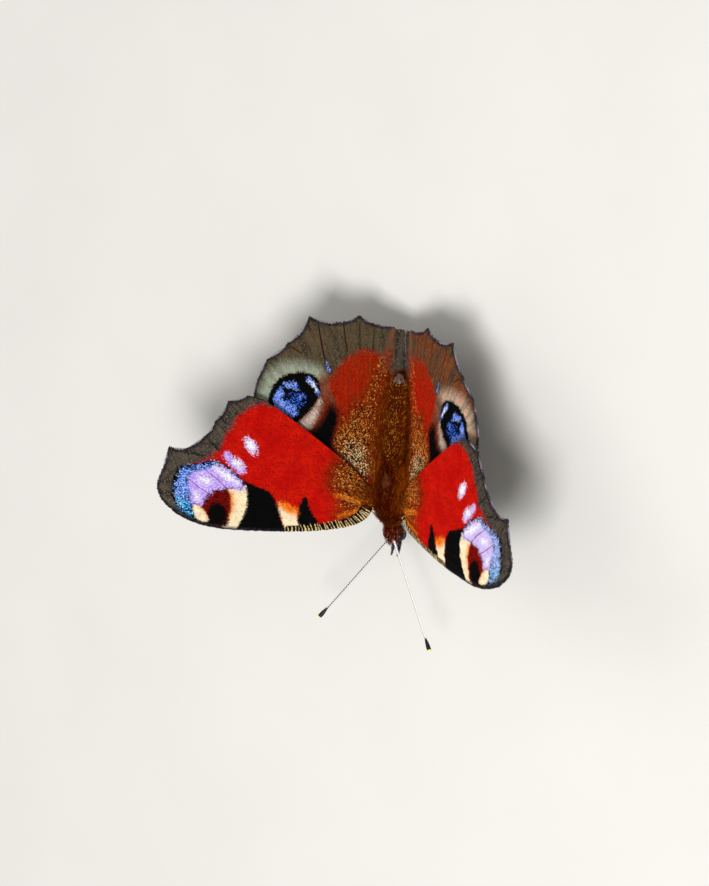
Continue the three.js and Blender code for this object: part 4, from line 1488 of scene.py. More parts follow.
@dataclass(frozen=True)
class LowerWingScales(Finish):
    """Melanin-black scales of the underside, crossed by fine wavy lines, darker towards the body."""

    reads = ("grain", "tip")
    name: str = "melanin wing scales"
    dark: str = "#120D0B"
    line: str = "#3B2F28"
    outer: str = "#2E2621"
    fleck: str = "#5A4A3C"
    fleck_share: float = 0.1
    line_pitch: float = 0.7  # mm from one wavy line to the next
    dark_reach: float = 17.0  # mm from the wing's root to the end of its darker part
    roughness: float = 0.66

    def surface(self, add: AddNode, grain: Socket, tip: Socket) -> Inputs:
        """Wavy lines that follow each scale's place on its wing."""
        place = add("Attribute", output="Vector", attribute_name="place")
        waves_per_unit = 20 / (2 * math.pi)
        wave = {"Vector": place, "Scale": 1 / (self.line_pitch * waves_per_unit), "Distortion": 7.0,
                "Detail": 3.0, "Detail Scale": 1.2}
        waves = add("TexWave", wave, "Fac", wave_type="RINGS", rings_direction="SPHERICAL")
        away = add("VectorMath", (place,), "Value", operation="LENGTH")
        ragged = add("TexNoise", {"Vector": place, "Scale": 0.45, "Detail": 4.0})
        moved = add("Math", (ragged, 6.0, away), operation="MULTIPLY_ADD")
        beyond = add("MapRange", (moved, self.dark_reach + 2.7, self.dark_reach + 3.3))
        lined = add("MapRange", (waves, 0.55))
        flecked = add("Math", (grain, self.fleck_share), operation="LESS_THAN")
        colour = self.dark
        for share, layer in ((beyond, self.outer), (lined, self.line), (flecked, self.fleck)):
            colour = add("Mix", {0: share, 6: colour, 7: layer}, 2, data_type="RGBA")
        # painted shade: each scale darker towards its root, where the scale before it covers it
        shade = add("MapRange", (tip, 0.0, 0.7, 0.6))
        return {"Base Color": add("VectorMath", {0: colour, "Scale": shade}, operation="SCALE")}


@dataclass(frozen=True)
class FringeScales(Finish):
    """The hair-like scales of the outer margin: dark at the teeth, violet-white in the hollows."""

    reads = ("hollow", "grain", "tip")
    name: str = "fringe scales"
    dark: str = "#33292C"
    pale: str = "#B7AEC2"
    roughness: float = 0.6

    def surface(self, add: AddNode, hollow: Socket, grain: Socket, tip: Socket) -> Inputs:
        """Pale tips where the margin is hollow."""
        more = add("Math", (grain, 0.9, hollow), operation="MULTIPLY_ADD")
        out = add("Math", (more, tip), operation="MULTIPLY")
        cover = add("MapRange", (out, 0.45, 1.2))
        return {"Base Color": add("Mix", {0: cover, 6: self.dark, 7: self.pale}, 2, data_type="RGBA")}


@dataclass(frozen=True)
class InsectHair(Finish):
    """Fine chitin hair: silky and deep brown, with painted shade that darkens each lock towards its root and
    painted light that brightens its tip, as the sun shining through it would.

    Attributes:
        deep: its colour where zone is 0.
        warm: its colour where zone is 1.
        light: of the lighter hairs.
        light_share: how many are lighter.
        dark: of the darkest hairs.
        dark_share: how many are darkest.
    """

    reads = ("zone", "grain", "tip")
    deep: str
    warm: str
    light: str
    light_share: float
    _: KW_ONLY
    dark: str = "#160A04"
    dark_share: float = 0.12
    mirror: float = 0.02

    def surface(self, add: AddNode, zone: Socket, grain: Socket, tip: Socket) -> Inputs:
        """The colour of each lock, with painted shade towards its root and painted light at its tip."""
        lighter = add("Math", (grain, self.light_share), operation="LESS_THAN")
        darker = add("Math", (grain, 1 - self.dark_share), operation="GREATER_THAN")
        colour = self.deep
        for share, layer in ((zone, self.warm), (lighter, self.light), (darker, self.dark)):
            colour = add("Mix", {0: share, 6: colour, 7: layer}, 2, data_type="RGBA")
        # painted shade at the root and painted light at the tip
        shade = add("MapRange", (tip, 0.0, 1.0, 0.45, 1.15))
        return {"Base Color": add("VectorMath", {0: colour, "Scale": shade}, operation="SCALE")}


@dataclass(frozen=True)
class Cuticle(Finish):
    """Bare chitin cuticle: tanned brown, finely pitted and slightly waxy, so it has a soft gloss."""

    dark: str
    light: str
    _: KW_ONLY
    mottle: float = 0.5  # mm across a mottle
    pit: float = 0.06  # mm across a pit
    roughness: float = 0.42
    mirror: float = 0.3

    def surface(self, add: AddNode) -> Inputs:
        """Mottles in the colour and pits in the relief."""
        place = add("TexCoord", output="Object")
        mottle = add("TexNoise", {"Vector": place, "Scale": per_mm(self.mottle), "Detail": 4.0})
        pits = add("TexVoronoi", {"Vector": place, "Scale": per_mm(self.pit)})
        return {
            "Base Color": add("Mix", {0: mottle, 6: self.dark, 7: self.light}, 2, data_type="RGBA"),
            "Normal": add("Bump", {"Height": pits, "Strength": 0.5, "Distance": 0.00002}),
        }


@dataclass(frozen=True)
class EyeCornea(Finish):
    """The clear hard lenses of a compound eye over dark brown pigment: glossy, in a net of facets.

    A real facet is about 0.025 mm wide. It is drawn 0.07 mm wide, so that the net shows.
    """

    name: str = "compound eye cornea"
    pigment: str = "#0C0605"
    # painted sheen: a lighter brown at the middle of each facet
    sheen: str = "#2C1810"
    facet: float = 0.07
    roughness: float = 0.3
    ior: float = 1.52

    def surface(self, add: AddNode) -> Inputs:
        """Pigment seen through the facets, with a painted sheen at the middle of each facet, under a thin
        clear coat.
        """
        place = add("TexCoord", output="Object")
        facets = add("TexVoronoi", {"Vector": place, "Scale": per_mm(self.facet), "Randomness": 0.25})
        lens = add("MapRange", (facets, 0.0, 0.6))
        return {
            "Base Color": add("Mix", {0: lens, 6: self.sheen, 7: self.pigment}, 2, data_type="RGBA"),
            "Normal": add("Bump", {"Height": facets, "Strength": 0.6, "Distance": 0.00002}, invert=True),
            "Coat Weight": 0.04,
            "Coat Roughness": 0.15,
        }


@dataclass(frozen=True)
class FeelerScales(Finish):
    """Scaled chitin of a feeler: dark brown rings, white scales on its outer side and at each joint."""

    reads = ("along", "outer", "club", "end")
    name: str = "feeler scales"
    dark: str = "#2B211C"
    white: str = "#F4F2EC"
    club: str = "#0E0B0C"
    tip: str = "#E9DC9A"
    joint: float = 0.34  # mm from one joint to the next
    joint_share: float = 0.22  # of that, which is white
    mirror: float = 0.25

    def surface(self, add: AddNode, along: Socket, outer: Socket, club: Socket, end: Socket) -> Inputs:
        """Rings, a dark club and a pale end."""
        joints = add("Math", (along, self.joint), operation="DIVIDE")
        share = add("Math", (joints,), operation="FRACT")
        ring = add("Math", (share, self.joint_share), operation="LESS_THAN")
        whiter = add("Math", (ring, 0.9, outer), operation="MULTIPLY_ADD")
        cover = add("MapRange", (whiter, 0.3, 0.7))
        colour = self.dark
        for share, layer in ((cover, self.white), (club, self.club), (end, self.tip)):
            colour = add("Mix", {0: share, 6: colour, 7: layer}, 2, data_type="RGBA")
        return {"Base Color": colour}


@dataclass(frozen=True)
class Plaster(Finish):
    """A trowelled pale plaster floor: matt, with faint clouds."""

    name: str = "pale plaster"
    pale: str = "#DAD8D3"
    cloud: str = "#D2D0CB"
    cloud_size: float = 25.0
    roughness: float = 0.85
    ior: float = 1.5
    mirror: float = 0.5

    def surface(self, add: AddNode) -> Inputs:
        """Two near colours in clouds."""
        place = add("TexCoord", output="Object")
        clouds = add("TexNoise", {"Vector": place, "Scale": per_mm(self.cloud_size), "Detail": 3.0})
        return {"Base Color": add("Mix", {0: clouds, 6: self.pale, 7: self.cloud}, 2, data_type="RGBA")}


UPPER_SCALES = UpperWingScales()
LOWER_SCALES = LowerWingScales()
FRINGE_SCALES = FringeScales()
THORAX_HAIR = InsectHair("thorax hair", "#581000", "#B05000", "#8A4C10", 0.16)
ABDOMEN_HAIR = InsectHair("abdomen hair scales", "#7C2A00", "#8E3600", "#E8962A", 0.32, dark_share=0.27)
ROOT_HAIR = InsectHair("wing root hair", "#6A2400", "#8A3800", "#B46A20", 0.14)
TAIL_HAIR = InsectHair("tail tuft hair", "#785044", "#825C4E", "#CDB4AC", 0.35)
HEAD_HAIR = InsectHair("head hair", "#600E00", "#7A2400", "#C08478", 0.14)
# the pale bluish-grey bristles are painted sheen, for the grey-lilac sheen of the dark palps
PALP_HAIR = InsectHair("palp bristles", "#17141A", "#2E2A30", "#8890A4", 0.2)
LEG_HAIR = InsectHair("leg bristles", "#2A1A12", "#5A3E28", "#9A8468", 0.2)
BODY_CUTICLE = Cuticle("tanned body cuticle", "#2C0C00", "#4C1A02", roughness=0.7, mirror=0.02)
SHIELD_CUTICLE = Cuticle("shield cuticle", "#220A02", "#643014", mottle=0.25, roughness=0.6, mirror=0.05)
LEG_CUTICLE = Cuticle("tanned leg cuticle", "#3A2617", "#7A5834", mottle=0.8)
HORN_CUTICLE = Cuticle("dark horn cuticle", "#1A100B", "#33211A", roughness=0.35)


@dataclass(frozen=True)
class Tract:
    """A tract of hair on a wing: its patch, the way that it lies in u and v, its locks and their spacing."""

    patch: Patch
    way: Place
    lock: Lock
    spacing: float


@dataclass(frozen=True)
class WingDress:
    """One wing, dressed: its skin, its two coats of scales, its fringe and the hair at its root.

    Attributes:
        wing: the wing's form.
        hair: the tracts of long hair on its upper side.
        seed: of its random differences.
        upper_row: mm between rows of scales above.
        upper_pitch: mm between scales in a row above.
        lower_row: mm between rows below.
        lower_pitch: mm between scales in a row below.
    """

    wing: Wing
    hair: tuple[Tract, ...]
    seed: int
    upper_row: float = 0.155
    upper_pitch: float = 0.12
    lower_row: float = 0.22
    lower_pitch: float = 0.18

    def root_hair(self, rng: Rng) -> Shape:
        """The long hair on the upper face, shorter towards the edges of its patches.

        Args:
            rng: the random source.

        Returns:
            The hair as one shape.
        """
        wing = self.wing
        short, more = 0.55, 0.45  # size at a patch's edge, and what it gains inside
        warm_from, warm_over = 0.2, 1.6  # mm in u over which the hair gets warmer
        shapes = []
        for tract in self.hair:
            line = np.arange(wing.low, wing.high, tract.spacing)
            roots = np.stack(np.meshgrid(line, line), axis=-1).reshape(-1, 2)
            roots = roots + rng.uniform(-0.5, 0.5, roots.shape) * tract.spacing
            depth = tract.patch.depth(roots)
            kept = (depth > 0) & (wing.inside.read(roots) > 0.1) & ~buried(wing.surface(roots))
            roots, depth = roots[kept], depth[kept]
            ahead = roots + np.array(tract.way) * 0.1
            lie = unit(wing.surface(ahead) - wing.surface(roots))
            marks = {"zone": smooth((roots[:, 0] - warm_from) / warm_over)}
            sizes = short + more * smooth(depth / 1.2)
            skin, normals, uv = wing.face(roots, 1), wing.normal(roots), wing.unwrap(roots)
            shapes.append(tract.lock.grow(skin, normals, lie, uv, rng, marks, sizes))
        return joined(shapes)

    def build(self) -> None:
        """Make the pieces of the right wing and of the left one."""
        rng = np.random.default_rng(self.seed)
        wing = self.wing
        label = wing.name + "_{}"
        make_pair(label + "_skin", wing.skin(rng), [UPPER_SCALES, LOWER_SCALES], [label])
        upper = wing.coat(1, self.upper_row, self.upper_pitch, rng)
        make_pair(label + "_upper_scales", upper, [UPPER_SCALES])
        lower = wing.coat(-1, self.lower_row, self.lower_pitch, rng)
        make_pair(label + "_lower_scales", lower, [LOWER_SCALES])
        make_pair(label + "_fringe", wing.fringe(rng), [FRINGE_SCALES])
        make_pair(label + "_root_hair", self.root_hair(rng), [ROOT_HAIR])


@dataclass(frozen=True)
class Body:
    """Head, thorax and abdomen under one skin, with their coats of hair."""

    shrink: float = 0.89  # the skin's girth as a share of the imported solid's, which holds the coat
    front: float = 4.55
    rear: float = -19.15
    rings: int = 190
    sides: int = 44
    blend: float = 5.0  # how sharply one form passes into the next
    merge_from: float = -4.4  # where the abdomen starts to show, and over how much it does so in full
    merge_over: float = 1.2
    shield_y: float = -4.7
    shield_half: float = 1.4
    shield_half_angle: float = 0.5
    flank_height: float = -0.25  # of the middle of the hairy flanks, as the sine of the angle
    flank_band: float = 0.6
    belly: float = -0.45  # below it most of the hair is of the darkest kind
    belly_share: float = 0.85
    plain_share: float = 0.7  # of the warm hair, which is neither lighter nor darkest
    seed: int = 21

    def section(self, y: Array) -> tuple[Array, Array, Array]:
        """The skin's half width, half height and middle height at y."""
        merge = smooth((self.merge_from - y) / self.merge_over)
        abdomen = ABDOMEN.half(y) * merge
        forms = [(form.half_width * form.girth(y), form.half_height * form.girth(y), form.z)
                 for form in (THORAX, HEAD, NECK)]
        forms.append((abdomen, abdomen * ABDOMEN.flat, ABDOMEN.middle(y)))
        powers = [(w**self.blend, h**self.blend, z) for w, h, z in forms]
        total = sum(w for w, _, _ in powers)
        width = total ** (1 / self.blend)
        height = sum(h for _, h, _ in powers) ** (1 / self.blend)
        middle = sum(w * z for w, _, z in powers) / np.maximum(total, 1e-12)
        segment = (ABDOMEN.front - ABDOMEN.tip) / ABDOMEN.segments
        ring = ((y - ABDOMEN.tip) / segment) % 1
        groove = ABDOMEN.groove * np.exp(-((np.minimum(ring, 1 - ring) / 0.1) ** 2)) * merge
        return width * self.shrink - groove, height * self.shrink - groove, middle

    def at(self, y: Array, angle: Array) -> Array:
        """Points of the skin at y, and an angle that is 0 on the right and a quarter turn on the back."""
        width, height, middle = self.section(y)
        return np.column_stack([width * np.cos(angle), y, middle + height * np.sin(angle)])

    def normal(self, y: Array, angle: Array) -> Array:
        """The outward normal of the skin."""
        step = 0.04
        along = self.at(y + step, angle) - self.at(y - step, angle)
        round_it = self.at(y, angle + step) - self.at(y, angle - step)
        return unit(np.cross(along, round_it))

    def skin(self) -> Shape:
        """The skin, from the abdomen's tip to the head's front."""
        turn = np.linspace(0, math.pi, self.rings)
        ends = (self.rear + self.front) / 2 - (self.front - self.rear) / 2 * np.cos(turn)
        even = np.linspace(self.rear, self.front, self.rings)
        thinnest = 0.05
        y = 0.35 * ends + 0.65 * even
        width, height, middle = self.section(y)
        path = np.column_stack([np.zeros(len(y)), y, middle])
        width, height = np.maximum(width, thinnest), np.maximum(height, thinnest)
        return tube(path, width, self.sides, height / width)

    def spread(self, ends: Place, spacing: float, rng: Rng) -> tuple[Array, Array]:
        """Even places over a stretch of the skin.

        Args:
            ends: where the stretch starts and ends along the body.
            spacing: mm between places.
            rng: the random source.

        Returns:
            The places along the body and their angles.
        """
        rows = np.arange(ends[0], ends[1], spacing)
        width, height, _ = self.section(rows)
        counts = np.maximum((math.pi * (width + height) / spacing).astype(int), 4)
        y = np.concatenate([np.full(n, row) for n, row in zip(counts, rows)])
        angle = np.concatenate([(np.arange(n) + rng.random(n)) * 2 * math.pi / n for n in counts])
        return y + rng.uniform(-0.5, 0.5, len(y)) * spacing, angle

    def hair(self, ends: Place, spacing: float, lock: Lock, lie: Place, rng: Rng,
             zone_at: float, longer: float = 0.0, flanks: bool = False, over: float = 0.55) -> Shape:
        """The hair of one stretch of the body.

        Args:
            ends: where the stretch starts and ends along the body.
            spacing: mm between locks.
            lock: the kind of hair.
            lie: the way that it lies, x on the right side.
            rng: the random source.
            zone_at: mm from the midline at which it is half way to the warm colour.
            longer: the share by which it is longer on the flanks than on the back.
            flanks: whether it grows on the flanks only.
            over: how far over the shield it grows, as a share of the shield's half length.

        Returns:
            The hair as one shape.
        """
        y, angle = self.spread(ends, spacing, rng)
        kept = self.shield_depth(y, angle) < over
        if flanks:
            kept = np.abs(np.sin(angle) - self.flank_height) < self.flank_band
        y, angle = y[kept], angle[kept]
        roots = self.at(y, angle)
        ways = np.tile(np.array(lie, float), (len(roots), 1))
        ways[:, 0] *= np.sign(roots[:, 0]) * np.minimum(np.abs(roots[:, 0]), 1)
        uv = np.column_stack([angle / (2 * math.pi) % 1, (y - self.rear) / (self.front - self.rear)])
        zone = smooth((np.abs(roots[:, 0]) / zone_at - 0.5))
        grain = rng.random(len(roots))
        plain = (zone > 0.5) & (rng.random(len(roots)) < self.plain_share)
        under = (np.sin(angle) < self.belly) & (rng.random(len(roots)) < self.belly_share)
        grain = np.where(under, 1.0, np.where(plain, 0.5, grain))
        sizes = 1 + longer * np.cos(angle) ** 2
        marks = {"zone": zone, "grain": grain}
        return lock.grow(roots, self.normal(y, angle), unit(ways), uv, rng, marks, sizes)

    def shield_depth(self, y: Array, angle: Array) -> Array:
        """How deep places lie inside the bare shield behind the thorax, as a share of its half length."""
        across = (angle - math.pi / 2 + math.pi) % (2 * math.pi) - math.pi
        return 1 - np.abs(across) / self.shield_half_angle - np.abs(y - self.shield_y) / self.shield_half

    def shield(self) -> Shape:
        """The bare shield: a low bulging diamond, split by a crack across it."""
        steps = 15
        s, t = np.meshgrid(np.linspace(-1, 1, steps), np.linspace(-1, 1, steps), indexing="ij")
        across = (s - t).ravel() / 2
        along = (s + t).ravel() / 2
        y = self.shield_y + along * self.shield_half
        angle = math.pi / 2 + across * self.shield_half_angle
        bulge = np.sqrt(np.clip((1 - s**2) * (1 - t**2), 0, 1)).ravel()
        crack = np.exp(-(((along + 0.25 - 0.2 * np.abs(across)) / 0.07) ** 2))
        normal = self.normal(y, angle)
        skin = self.at(y, angle)
        top = skin + normal * (0.02 + bulge * (0.28 - 0.16 * crack))[:, None]
        base = skin - normal * 0.15
        row, column = np.meshgrid(np.arange(steps - 1), np.arange(steps - 1), indexing="ij")
        a = (row * steps + column).ravel()
        b, c, d = a + steps, a + steps + 1, a + 1
        sheet = np.vstack([np.column_stack([a, c, b]), np.column_stack([a, d, c])])
        line = np.arange(steps)
        back = line[::-1]
        last = steps - 1
        rim = np.concatenate([line * steps, last * steps + line[1:], (back * steps + last)[1:], back[1:]])
        here, there = rim[:-1], rim[1:]
        under = steps * steps
        walls = np.vstack([np.column_stack([here, there + under, here + under]),
                           np.column_stack([here, there, there + under])])
        return Shape(np.vstack([top, base]), np.vstack([sheet, sheet[:, ::-1] + under, walls]))

    def build(self) -> None:
        """Make the skin, the shield and the coats."""
        rng = np.random.default_rng(self.seed)
        make_piece("body_skin", self.skin(), [BODY_CUTICLE], ["thorax", "abdomen", "head"])
        make_piece("thorax_shield", self.shield(), [SHIELD_CUTICLE])
        back = Lock((1.0, 1.6), 0.085, rise=0.4, droop=0.42)
        front = Lock((0.6, 1.0), 0.08, rise=0.9, droop=0.5)
        thorax = joined([
            self.hair((-7.2, 1.6), 0.14, back, (0.4, -1, 0), rng, 1.6, longer=0.7),
            self.hair((0.9, 2.7), 0.13, front, (0.2, 0.4, 0.3), rng, 1.3),
        ])
        make_piece("thorax_coat", thorax, [THORAX_HAIR])
        flat = Lock((0.34, 0.56), 0.1, flat=0.35, rise=0.25, droop=0.2)
        side = Lock((0.6, 0.9), 0.12, flat=0.35, rise=1.1, droop=0.2)
        abdomen = joined([
            self.hair((-19.0, -6.0), 0.125, flat, (0.1, -1, 0), rng, 1.0),
            self.hair((-18.0, -6.0), 0.115, side, (0.3, -0.6, -0.2), rng, 1.0, flanks=True),
        ])
        make_piece("abdomen_coat", abdomen, [ABDOMEN_HAIR])
        long = Lock((0.5, 0.9), 0.07, rise=0.35, droop=0.3)
        tuft = self.hair((-19.1, -18.1), 0.09, long, (0, -1, 0.1), rng, 1.0)
        make_piece("tail_tuft", tuft, [TAIL_HAIR])
        short = Lock((0.5, 0.9), 0.06, rise=0.9, droop=0.3)
        head = self.hair((2.0, 4.5), 0.115, short, (0.1, 0.8, 0.5), rng, 1.2)
        make_piece("head_coat", head, [HEAD_HAIR])


@dataclass(frozen=True)
class Face:
    """What the head carries: the compound eyes, the palps and the coiled proboscis."""

    eye: Place = (1.02, 3.4, -1.9)
    eye_radius: float = 0.68
    palp: Places = ((0.4, 3.6, -2.75), (0.47, 4.6, -2.75), (0.5, 5.6, -2.6), (0.52, 6.45, -2.35))
    palp_radius: float = 0.24
    coil: Place = (0.0, 3.95, -4.3)
    coil_outer: float = 0.74
    coil_pitch: float = 0.3
    coil_turns: float = 2.2
    coil_radius: float = 0.13
    seed: int = 33

    def eyeball(self) -> Shape:
        """The right eye, a little taller than wide."""
        rings = 40
        share = -np.cos(np.linspace(0, math.pi, rings))
        path = np.array(self.eye) + np.outer(share * self.eye_radius * 0.97, [1, 0, 0])
        return tube(path, self.eye_radius * np.sqrt(1 - share**2), 48)

    def palp_skin(self) -> Shape:
        """The right palp, of three joints that taper to the front."""
        path = curve_through(self.palp, 48)
        t = np.linspace(0, 1, len(path))
        joints = 1 - 0.16 * (np.exp(-((t - 0.25) / 0.03) ** 2) + np.exp(-((t - 0.78) / 0.03) ** 2))
        ends = np.sqrt(np.clip(1 - ((t - 0.5) * 2) ** 16, 0, 1))
        return tube(path, self.palp_radius * joints * (1.1 - 0.65 * t) * ends, 16)

    def palp_hair(self, rng: Rng) -> Shape:
        """The bristles of the right palp."""
        skin = self.palp_skin()
        bristle = Lock((0.35, 0.7), 0.05, rise=0.7, droop=0.5, sway=0.2)
        return hair_on_tube(skin, 1500, bristle, (0, 1, 0.2), rng, end_size=0.45)

    def proboscis(self) -> Shape:
        """A stem down from the head that coils forward, in the plane of symmetry."""
        turn = np.linspace(0, self.coil_turns, 90)
        reach = self.coil_outer - self.coil_pitch * turn
        angle = math.pi * (1 + 2 * turn)
        y, z = self.coil[1] + reach * np.cos(angle), self.coil[2] + reach * np.sin(angle)
        coil = np.column_stack([np.zeros(len(turn)), y, z])
        path = curve_through([(0, 3.2, -2.4), (0, 3.15, -3.2), *coil[::2]], 160)
        t = np.linspace(0, 1, len(path))
        ribs = 1 + 0.04 * np.cos(t * 2 * math.pi * 90)
        return tube(path, self.coil_radius * ribs * (1 - 0.5 * t) * np.sqrt(1 - t**12), 12)

    def build(self) -> None:
        """Make the eyes, the palps and the proboscis."""
        rng = np.random.default_rng(self.seed)
        make_pair("eyeball_{}", self.eyeball(), [EyeCornea()], ["eye_{}"])
        make_pair("palp_skin_{}", self.palp_skin(), [HORN_CUTICLE], ["palp_{}"])
        make_pair("palp_bristles_{}", self.palp_hair(rng), [PALP_HAIR])
        make_piece("coiled_proboscis", self.proboscis(), [HORN_CUTICLE], ["proboscis"])


def hair_on_tube(skin: Shape, count: int, lock: Lock, lie: Place, rng: Rng,
                 end_size: float = 1.0) -> Shape:
    """Hair at random places of a round body.

    Args:
        skin: the body.
        count: how many locks.
        lock: the kind of hair.
        lie: the way that it lies.
        rng: the random source.
        end_size: of the hair at the body's end, against the hair at its start.

    Returns:
        The hair as one shape.
    """
    corners = skin.points[skin.faces]
    normals = np.cross(corners[:, 1] - corners[:, 0], corners[:, 2] - corners[:, 0])
    area = np.linalg.norm(normals, axis=1)
    chosen = rng.choice(len(area), count, p=area / area.sum())
    weights = rng.dirichlet([1, 1, 1], count)
    roots = np.einsum("nk,nkd->nd", weights, corners[chosen])
    uv = np.einsum("nk,nkd->nd", weights, skin.uv[skin.faces[chosen]])
    ways = np.tile(unit(np.array(lie, float)), (count, 1))
    sizes = 1 + (end_size - 1) * uv[:, 1]
    return lock.grow(roots, unit(normals[chosen]), ways, uv, rng, {"zone": rng.random(count)}, sizes)


@dataclass(frozen=True)
class Feeler:
    """An antenna: a ringed shaft with a club at its end."""

    root: Place = (0.43, 3.9, -1.25)
    tips: tuple[Place, Place] = ((9.4, 16.5, 1.9), (9.4, 17.6, 1.9))
    shaft: float = 0.135
    club: float = 0.31
    club_length: float = 2.3
    pale_end: float = 0.4
    joint: float = 0.34
    steps: int = 260
    sides: int = 14

    def shape(self, tip: Place) -> Shape:
        """The right antenna, to a tip."""
        path = np.linspace(self.root, tip, self.steps)
        length = float(np.linalg.norm(np.subtract(tip, self.root)))
        along = np.linspace(0, length, self.steps)
        left = length - along
        swell = smooth((self.club_length - left) / (self.club_length * 0.7))
        rings = 1 + 0.07 * np.cos(2 * math.pi * along / self.joint) * (1 - 0.5 * swell)
        base = 0.12 * np.exp(-((along / 0.45) ** 2))
        radii = (self.shaft + base + (self.club - self.shaft) * swell) * rings
        radii = radii * np.sqrt(np.clip(1 - np.clip(1 - left / 0.4, 0, 1) ** 2, 0, 1))
        shape = tube(path, radii, self.sides)
        run = shape.marks["along"]
        angle = 2 * math.pi * shape.marks["around"]
        shape.marks["outer"] = np.clip(np.cos(angle - 0.5) * 1.1 - 0.1, 0, 1)
        shape.marks["club"] = smooth((run - length + self.club_length) / 0.5)
        shape.marks["end"] = smooth((run - length + self.pale_end) / 0.15)
        return shape

    def build(self) -> None:
        """Make both antennae."""
        right, left = (self.shape(tip) for tip in self.tips)
        finish = FeelerScales()
        for side, shape in (("right", right), ("left", left.mirrored())):
            make_piece(f"feeler_{side}", shape, [finish], [f"antenna_{side}"])


@dataclass(frozen=True)
class Leg:
    """A walking leg: thigh, shin and a foot of five joints that lies on the floor."""

    place: str
    hip: Place
    knee: Place
    foot: Place
    toe: Place
    thigh: float = 0.34
    shin: float = 0.19
    sole: float = 0.14
    joints: int = 5
    bend: float = 0.35  # mm over which a joint is rounded
    step: float = 0.05
    seed: int = 41

    def path(self) -> tuple[Array, Place]:
        """The leg's middle line, and where along it the knee, the ankle and the end are."""
        ground = self.sole + 0.02 - HINGE_HEIGHT
        corners = np.array([self.hip, self.knee, (*self.foot, ground + 0.1), (*self.toe, ground)])
        ends = lengths(corners)
        line = places_along(corners, np.arange(0, ends[-1], self.step))
        half = int(self.bend / self.step)
        padded = np.vstack([line[:1].repeat(half, axis=0), line, line[-1:].repeat(half, axis=0)])
        kernel = np.ones(2 * half + 1) / (2 * half + 1)
        eased = np.column_stack([np.convolve(axis, kernel, mode="valid") for axis in padded.T])
        return eased, tuple(ends[1:])

    def skin(self) -> Shape:
        """The leg's skin, narrow at each joint."""
        path, (knee, ankle, end) = self.path()
        along = np.arange(len(path)) * self.step
        thigh, shin, sole = self.thigh, self.shin, self.sole
        knots = (
            (0, thigh * 0.7), (0.4, thigh * 0.8), (knee * 0.4, thigh), (knee - 0.3, thigh * 0.72),
            (knee, shin * 0.8), (knee + 0.35, shin * 1.05), (ankle - 0.5, shin * 0.9), (ankle, sole * 0.85),
            (ankle + 0.3, sole), (end - 0.2, sole * 0.8), (end, 0.03),
        )
        radii = np.interp(along, *zip(*knots))
        tarsus = np.clip((along - ankle) / (end - ankle), 0, 1) * self.joints
        near = np.minimum(tarsus % 1, 1 - tarsus % 1)
        radii = radii * np.where(along > ankle, 1 - 0.25 * np.exp(-((near / 0.1) ** 2)), 1)
        return tube(path, radii, 16)

    def claws(self, rng: Rng) -> Shape:
        """Two curved claws at the toe."""
        path, _ = self.path()
        way = unit(path[-1] - path[-6])
        side = np.array([-way[1], way[0], 0])
        roots = np.array([path[-2] + side * 0.04, path[-2] - side * 0.04])
        ways = np.array([way + side * 0.6, way - side * 0.6])
        up = np.tile([0.0, 0.0, 1.0], (2, 1))
        claw = Lock((0.26, 0.26), 0.07, flat=0.9, rise=0.35, droop=0.75, sway=0.0, steps=5)
        return claw.grow(roots, up, ways, np.full((2, 2), 0.5), rng, {"zone": np.zeros(2)})

    def build(self) -> None:
        """Make the leg on both sides."""
        rng = np.random.default_rng(self.seed)
        skin = self.skin()
        down = unit(np.subtract(self.toe + (0,), self.hip)) + [0, 0, -0.4]
        spine = Lock((0.18, 0.34), 0.04, rise=0.55, droop=0.1, sway=0.1)
        bristles = joined([hair_on_tube(skin, 420, spine, tuple(down), rng), self.claws(rng)])
        label = self.place + "_leg_{}"
        nodes = [f"{label}_{part}" for part in ("femur", "tibia", "foot")]
        make_pair(label + "_skin", skin, [LEG_CUTICLE], nodes)
        make_pair(label + "_bristles", bristles, [LEG_HAIR])


@dataclass(frozen=True)
class BrushLeg:
    """A foreleg, which in this family is a short folded brush."""

    hip: Place = (1.0, 0.1, -2.4)
    knee: Place = (1.5, 2.7, -3.5)
    radius: float = 0.22
    seed: int = 47

    def build(self) -> None:
        """Make both forelegs with their brushes."""
        rng = np.random.default_rng(self.seed)
        t = np.linspace(0, 1, 40)
        way = np.subtract(self.knee, self.hip)
        path = np.array(self.hip) + np.outer(t, way)
        skin = tube(path, self.radius * (1 - 0.4 * t) * np.sqrt(1 - (2 * t - 1) ** 12), 14)
        brush = Lock((0.45, 0.8), 0.06, rise=0.3, droop=0.2, sway=0.15)
        make_pair("brush_leg_{}_skin", skin, [LEG_CUTICLE], ["foreleg_{}"])
        make_pair("brush_leg_{}_hair", hair_on_tube(skin, 900, brush, tuple(way), rng), [LEG_HAIR])


